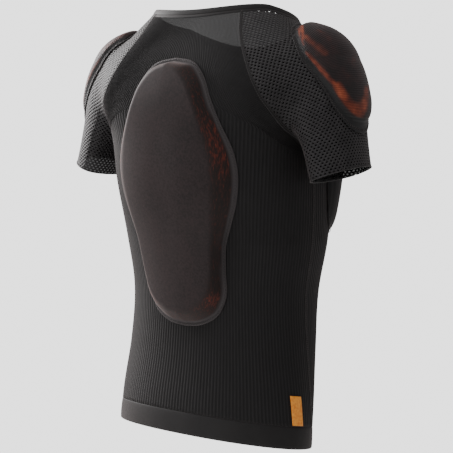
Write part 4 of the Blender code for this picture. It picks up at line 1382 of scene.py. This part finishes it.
def aimed(name, data, place):
    """A lamp or the camera at its place, turned towards the shirt."""
    thing = bpy.data.objects.new(name, data)
    bpy.context.scene.collection.objects.link(thing)
    thing.location = place
    thing.rotation_euler = (Vector(LOOK_AT) - Vector(place)).to_track_quat("-Z", "Y").to_euler()
    return thing


def colour(name, description, code):
    """A colour that the user can change, its default written as an sRGB hex value."""
    return bpy.props.FloatVectorProperty(name=name, description=description, subtype="COLOR", size=4,
                                         min=0.0, max=1.0, default=linear(code))


def length(name, description, default):
    """A size in metres that the user can change."""
    return bpy.props.FloatProperty(name=name, description=description, default=default, unit="LENGTH",
                                   precision=4)


class SHIRT_PG_sizes(bpy.types.PropertyGroup):
    """Sizes of the cloth's details."""
    rib_depth: length("Rib depth", "Height of the knitted ribs over their grooves", 0.0007)
    net_pitch: length("Net pitch", "Distance between neighbouring holes of the sleeve mesh", 0.0064)
    net_row: length("Net row", "Distance from one row of holes to the next, which is offset", 0.0036)
    hole_width: length("Hole width", "Width of a hole across the sleeve", 0.0035)
    hole_height: length("Hole height", "Height of a hole along the sleeve", 0.0023)
    thread: length("Thread", "Thickness of the sewing thread", 0.0007)
    puff: length("Puff", "Furthest that a pad's cover swells over its foam", 0.0022)


class SHIRT_PG_looks(bpy.types.PropertyGroup):
    """Colours of the cloths."""
    # Groove paints shade between the ribs and knit light paints highlight on their tops.
    groove: colour("Groove", "Shade between the ribs", "#070606")
    knit: colour("Knit", "Body of the rib knit", "#100e0f")
    knit_light: colour("Knit light", "Tops of the ribs", "#1c1a1b")
    mesh: colour("Mesh", "Yarn of the sleeve mesh", "#272526")
    mesh_light: colour("Mesh light", "Yarn of the sleeve mesh where it bulges", "#343132")
    # Painted shade: the dark sheet behind the sleeve mesh darkens its holes.
    mesh_shade_sheet: colour("Mesh backing", "Sheer layer behind the sleeve mesh", "#080707")
    band: colour("Band", "Hem and neck bands", "#1b1919")
    band_dark: colour("Band dark", "Shaded parts of the bands", "#141213")
    cover: colour("Cover", "Cover of the pads", "#271b1c")
    cover_dark: colour("Cover dark", "Shaded patches of the pad cover", "#140c0d")
    flange: colour("Flange", "Stitched flange round the back pad", "#3a3637")
    wall: colour("Wall", "Pad wall where the foam tints the cover", "#291410")
    wall_dark: colour("Wall dark", "Shaded pad wall", "#150e0d")
    border: colour("Border", "Plain border round the shoulder covers", "#1d1c1d")
    guard: colour("Guard", "Shoulder cover over the guard", "#291a1a")
    guard_dark: colour("Guard dark", "Shaded shoulder cover", "#1b1516")
    guard_warm: colour("Guard warm", "Shoulder cover over bright foam", "#45211a")
    orange: colour("Orange", "Guard rim seen through the cover", "#823a24")
    orange_deep: colour("Orange deep", "Guard rim in shade", "#551f14")
    orange_light: colour("Orange light", "Guard rim where it is brightest", "#a8573a")
    tag: colour("Tag", "Woven tag", "#ffa83a")
    tag_dark: colour("Tag dark", "Shaded weave of the tag", "#ee8420")
    thread: colour("Thread", "Sewing thread", "#3a3636")
    sheen: colour("Sheen", "Light edge of the brushed fibres", "#b9a8a6")
    floor: colour("Floor", "Studio floor", "#f4f3f1")


class SHIRT_OT_materials(bpy.types.Operator):
    """Makes the cloths, the thread, the tape and the studio paper"""
    bl_idname = "shirt.materials"
    bl_label = "Materials"

    def execute(self, context):
        look = context.scene.shirt_looks
        ribbed_knit(look, "polyamide_rib_knit", RIB_ALPHA)
        ribbed_knit(look, "polyamide_rib_knit_inside", RIB_INNER_ALPHA)
        mesh_knit(look)
        shade_sheet_look(look)
        band_knit(look)
        cover_knit(look)
        shoulder_knit(look)
        plain_thread(look)
        woven_tape(look)
        matte_paper(look)
        return {"FINISHED"}


class SHIRT_OT_panels(bpy.types.Operator):
    """Knits the ribbed back and front panels"""
    bl_idname = "shirt.panels"
    bl_label = "Rib panels"

    def execute(self, context):
        sizes = context.scene.shirt_sizes
        for which, node in enumerate(("back_panel", "front_panel")):
            points, uv = ribbed_sheet(fine_panel(which), sizes.rib_depth)
            faces = quads(*points.shape[:2])
            panel = make_piece(f"{node}_knit", points, faces, "polyamide_rib_knit", "rib_knit", uv=uv)
            panel.data.materials.append(bpy.data.materials["polyamide_rib_knit_inside"])
            walled(panel, SHELL).material_offset = 1
            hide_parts(node)
        return {"FINISHED"}


class SHIRT_OT_sleeves(bpy.types.Operator):
    """Knits both mesh sleeves and the yarn that edges their cuffs"""
    bl_idname = "shirt.sleeves"
    bl_label = "Mesh sleeves"

    def execute(self, context):
        sizes = context.scene.shirt_sizes
        grid, flat = fine_sleeve()
        points, faces, uv = net_sheet(grid, flat, sizes.net_pitch, sizes.net_row, sizes.hole_width,
                                      sizes.hole_height)
        # A dark sheet just inside each sleeve paints shade in the mesh's holes.
        inner = grid[:, ::2] - form_normal(grid[:, ::2]) * SHADE_SHEET_DEPTH
        for side in ("right", "left"):
            corners = faces if side == "right" else faces[:, ::-1]
            sleeve = make_piece(f"sleeve_{side}_net", for_side(points, side), corners,
                                "polyester_mesh_knit", "sleeve_mesh", uv=uv, merge=3 * MERGE)
            walled(sleeve, NET_THICKNESS)
            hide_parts(f"sleeve_{side}")
            shade_sheet = make_piece(f"sleeve_{side}_backing", for_side(inner, side), quads(*inner.shape[:2]),
                                 "painted_shade_sheet", "sleeve_mesh")
            walled(shade_sheet, SHADE_SHEET_THICKNESS)
            cuff = even_line(for_side(grid[-1], side)[:-1], CUFF_STEP, closed=True)
            edge, edge_faces = tube(cuff, CUFF_YARN)
            edging = make_piece(f"cuff_edge_{side}", edge, edge_faces, "polyester_mesh_knit",
                                "sleeve_mesh", merge=0, closed=True)
        return {"FINISHED"}


class SHIRT_OT_bands(bpy.types.Operator):
    """Folds and sews the hem band and the neck binding"""
    bl_idname = "shirt.bands"
    bl_label = "Bands"

    def execute(self, context):
        looks = ("smooth_binding_knit", "band_knit")
        hem = make_piece("hem_band_knit", *hem_section(), *looks, merge=0, closed=True)
        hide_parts("hem_band")
        neck = make_piece("neck_binding_knit", *neck_section(), *looks, merge=0, closed=True)
        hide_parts("neck_binding")
        return {"FINISHED"}


class SHIRT_OT_back_pad(bpy.types.Operator):
    """Covers the thick back pad and lets its cover swell over the foam"""
    bl_idname = "shirt.back_pad"
    bl_label = "Back pad"

    def execute(self, context):
        plan = pad_plan(BACK_PAD, BACK_PAD_SPINE, BACK_PAD_GRID)
        height, rise, _ = pad_heights(plan, BACK_PAD, BACK_PAD_FLANGE, BACK_PAD_THICKNESS, (1.0, 1.0), None,
                                      BACK_FACE)
        wall = np.clip((FOAM_WALL_TOP - rise) / FOAM_WALL_FADE, 0, 1) * np.clip(rise / FOAM_WALL_FOOT, 0, 1)
        # Painted highlights: the foam wall is made brighter round set heights, where light falls on it.
        bright = sum(np.exp(-((plan[0] - at) / wide) ** 2) for at, wide in WALL_PAINTED_HIGHLIGHTS)
        flange = np.clip(1 - rise / FLANGE_SHARE, 0, 1)
        pad = pad_cover("back_pad_cover", on_back, plan, height, free_share(rise, BACK_CREASE),
                        "brushed_cover_knit", "pad_cover",
                        {"wall": wall, "glint": wall * np.clip(bright, WALL_PAINTED_HIGHLIGHT_LEAST, 1),
                         "flange": flange}, 0.006)
        puffed(pad, context.scene.shirt_sizes.puff)
        finish_pad(pad, "back_pad")
        return {"FINISHED"}


class SHIRT_OT_chest_pad(bpy.types.Operator):
    """Covers the chest pad and lets its cover swell over the foam"""
    bl_idname = "shirt.chest_pad"
    bl_label = "Chest pad"

    def execute(self, context):
        sizes = (1.0, CHEST_METRES_PER_DEGREE)
        plan = pad_plan(CHEST_PAD, CHEST_PAD_SPINE, CHEST_PAD_GRID, CHEST_METRES_PER_DEGREE)
        height, rise, _ = pad_heights(plan, CHEST_PAD, CHEST_PAD_FLANGE, CHEST_PAD_THICKNESS, sizes,
                                      CHEST_WALL)
        start, reach, least = CHEST_FALL
        height = height * np.clip((plan[0] - start) / reach, least, 1)
        pad = pad_cover("chest_pad_cover", on_chest, plan, height, free_share(rise, 0.0),
                        "polyamide_rib_knit", "rib_knit",
                        {}, np.array([0.0055 / CHEST_METRES_PER_DEGREE, COURSE]))
        puffed(pad, context.scene.shirt_sizes.puff)
        finish_pad(pad, "chest_pad")
        return {"FINISHED"}


class SHIRT_OT_shoulder_pads(bpy.types.Operator):
    """Stretches the sheer ribbed covers over both shoulder guards"""
    bl_idname = "shirt.shoulder_pads"
    bl_label = "Shoulder pads"

    def execute(self, context):
        scale = (SHOULDER_METRES_PER_DEGREE, SHOULDER_METRES_PER_DEGREE)
        plan = pad_plan(SHOULDER_COVER, SHOULDER_PAD_SPINE, SHOULDER_PAD_GRID)
        height, rise, edge = pad_heights(plan, SHOULDER_COVER, SHOULDER_BORDER - 0.003,
                                         SHOULDER_PAD_THICKNESS, scale, SHOULDER_WALL)
        border = np.clip((SHOULDER_BORDER - edge) / 0.0010, 0, 1)
        rim = guard_rim(plan)
        for side, share in (("right", 1.0), ("left", LEFT_GUARD_SHARE)):
            masks = {"rim": rim * share, "border": border}
            pad = pad_cover(f"shoulder_pad_{side}_cover",
                            lambda a, b, side=side: for_side(on_shoulder(a, b), side), plan, height,
                            free_share(rise, 0.0), "sheer_knit_over_guard", "shoulder_cover", masks, 2.2)
            puffed(pad, SHOULDER_PUFF * context.scene.shirt_sizes.puff)
            finish_pad(pad, f"shoulder_pad_{side}")
        return {"FINISHED"}


class SHIRT_OT_seams(bpy.types.Operator):
    """Lays the flat-locked seams between panels and sleeves, and all their stitches"""
    bl_idname = "shirt.seams"
    bl_label = "Seams"

    def execute(self, context):
        thread = context.scene.shirt_sizes.thread
        looks = ("smooth_binding_knit", "band_knit")
        for name, line in seam_lines():
            tape = seam_tape(even_line(line, SEAM_STEP), SEAM_WIDTH, SEAM_HEIGHT)
            make_piece(f"{name}_seam", *tape, *looks, merge=0, closed=True)
            rows = [stitch_row(line, gap, STITCH_PITCH, SEAM_HEIGHT) for gap in (-STITCH_GAP, STITCH_GAP)]
            thread_piece(f"{name}_stitches", rows, thread)
        line = even_line(neck_edge(240)[0] - [0, 0, 0.0012], 0.003, closed=True)
        tape = seam_tape(line, 0.0050, SEAM_HEIGHT, closed=True)
        make_piece("neck_seam", *tape, *looks, merge=0, closed=True)
        for name, line, lift, swing in pad_lines():
            rows = [stitch_row(line, 0.0, PAD_STITCH_PITCH, lift, closed=True, zigzag=swing)]
            thread_piece(f"{name}_stitches", rows, thread)
        return {"FINISHED"}


class SHIRT_OT_tag(bpy.types.Operator):
    """Weaves the bare tag above the hem band"""
    bl_idname = "shirt.tag"
    bl_label = "Tag"

    def execute(self, context):
        turn = np.radians(np.linspace(*TAG_ANGLES, TAG_COLUMNS))
        rows = [cast(axis_point(h + 0 * turn), round_direction(turn, HEM_SLOPE * np.cos(turn)))
                for h in np.linspace(*TAG_HEIGHTS, TAG_ROWS)]
        grid = np.array(rows)
        grid = grid + form_normal(grid) * (PAD_CLEARANCE + TAG_THICKNESS)
        uv = np.stack(np.meshgrid(np.linspace(0, TAG_WEAVE[0], TAG_COLUMNS),
                                  np.linspace(0, TAG_WEAVE[1], TAG_ROWS)), -1)
        tag = make_piece("hem_tag_tape", grid, quads(TAG_ROWS, TAG_COLUMNS), "satin_woven_tape",
                         "woven_tag", uv=uv)
        walled(tag, TAG_THICKNESS)
        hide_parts("hem_tag")
        return {"FINISHED"}


class SHIRT_OT_stage(bpy.types.Operator):
    """Sets the pale floor, the soft studio lights and the camera"""
    bl_idname = "shirt.stage"
    bl_label = "Stage"

    def execute(self, context):
        scene = context.scene
        turn = np.linspace(0, 2 * math.pi, FLOOR_SIDES, endpoint=False)
        ring = np.stack([np.cos(turn), np.sin(turn), 0 * turn], -1) * FLOOR_RADIUS
        mesh = bpy.data.meshes.new("studio_floor")
        mesh.from_pydata(ring + [0, 0, FLOOR_HEIGHT], [], [list(range(FLOOR_SIDES))])
        mesh.materials.append(bpy.data.materials["matte_studio_paper"])
        floor = bpy.data.objects.new("studio_floor", mesh)
        scene.collection.objects.link(floor)
        scene.world = white_studio()
        for name, place, size, power in LAMPS:
            lamp = bpy.data.lights.new(name, "AREA")
            lamp.shape = "DISK"
            lamp.size = size
            lamp.energy = power
            aimed(name, lamp, place)
        eye = bpy.data.cameras.new("photo_view")
        eye.lens = LENS
        eye.sensor_width = SENSOR
        scene.camera = aimed("photo_view", eye, EYE)
        return {"FINISHED"}


class SHIRT_PT_panel(bpy.types.Panel):
    """Lists the shirt's steps, sizes and colours"""
    bl_label = "Padded shirt"
    bl_idname = "SHIRT_PT_panel"
    bl_space_type = "VIEW_3D"
    bl_region_type = "UI"
    bl_category = "Shirt"

    def draw(self, context):
        for step in STEPS:
            self.layout.operator(step.bl_idname)
        for group in (context.scene.shirt_sizes, context.scene.shirt_looks):
            for name in group.__annotations__:
                self.layout.prop(group, name)


STEPS = (
    SHIRT_OT_materials, SHIRT_OT_panels, SHIRT_OT_sleeves, SHIRT_OT_bands, SHIRT_OT_back_pad,
    SHIRT_OT_chest_pad, SHIRT_OT_shoulder_pads, SHIRT_OT_seams, SHIRT_OT_tag, SHIRT_OT_stage,
)
CLASSES = (SHIRT_PG_sizes, SHIRT_PG_looks, *STEPS, SHIRT_PT_panel)


def register():
    for kind in CLASSES:
        bpy.utils.register_class(kind)
    bpy.types.Scene.shirt_sizes = bpy.props.PointerProperty(type=SHIRT_PG_sizes)
    bpy.types.Scene.shirt_looks = bpy.props.PointerProperty(type=SHIRT_PG_looks)


def unregister():
    del bpy.types.Scene.shirt_sizes
    del bpy.types.Scene.shirt_looks
    for kind in reversed(CLASSES):
        bpy.utils.unregister_class(kind)


def main():
    register()
    bpy.ops.shirt.materials()
    bpy.ops.shirt.panels()
    bpy.ops.shirt.sleeves()
    bpy.ops.shirt.bands()
    bpy.ops.shirt.back_pad()
    bpy.ops.shirt.chest_pad()
    bpy.ops.shirt.shoulder_pads()
    bpy.ops.shirt.seams()
    bpy.ops.shirt.tag()
    bpy.ops.shirt.stage()


if __name__ == "__main__":
    main()
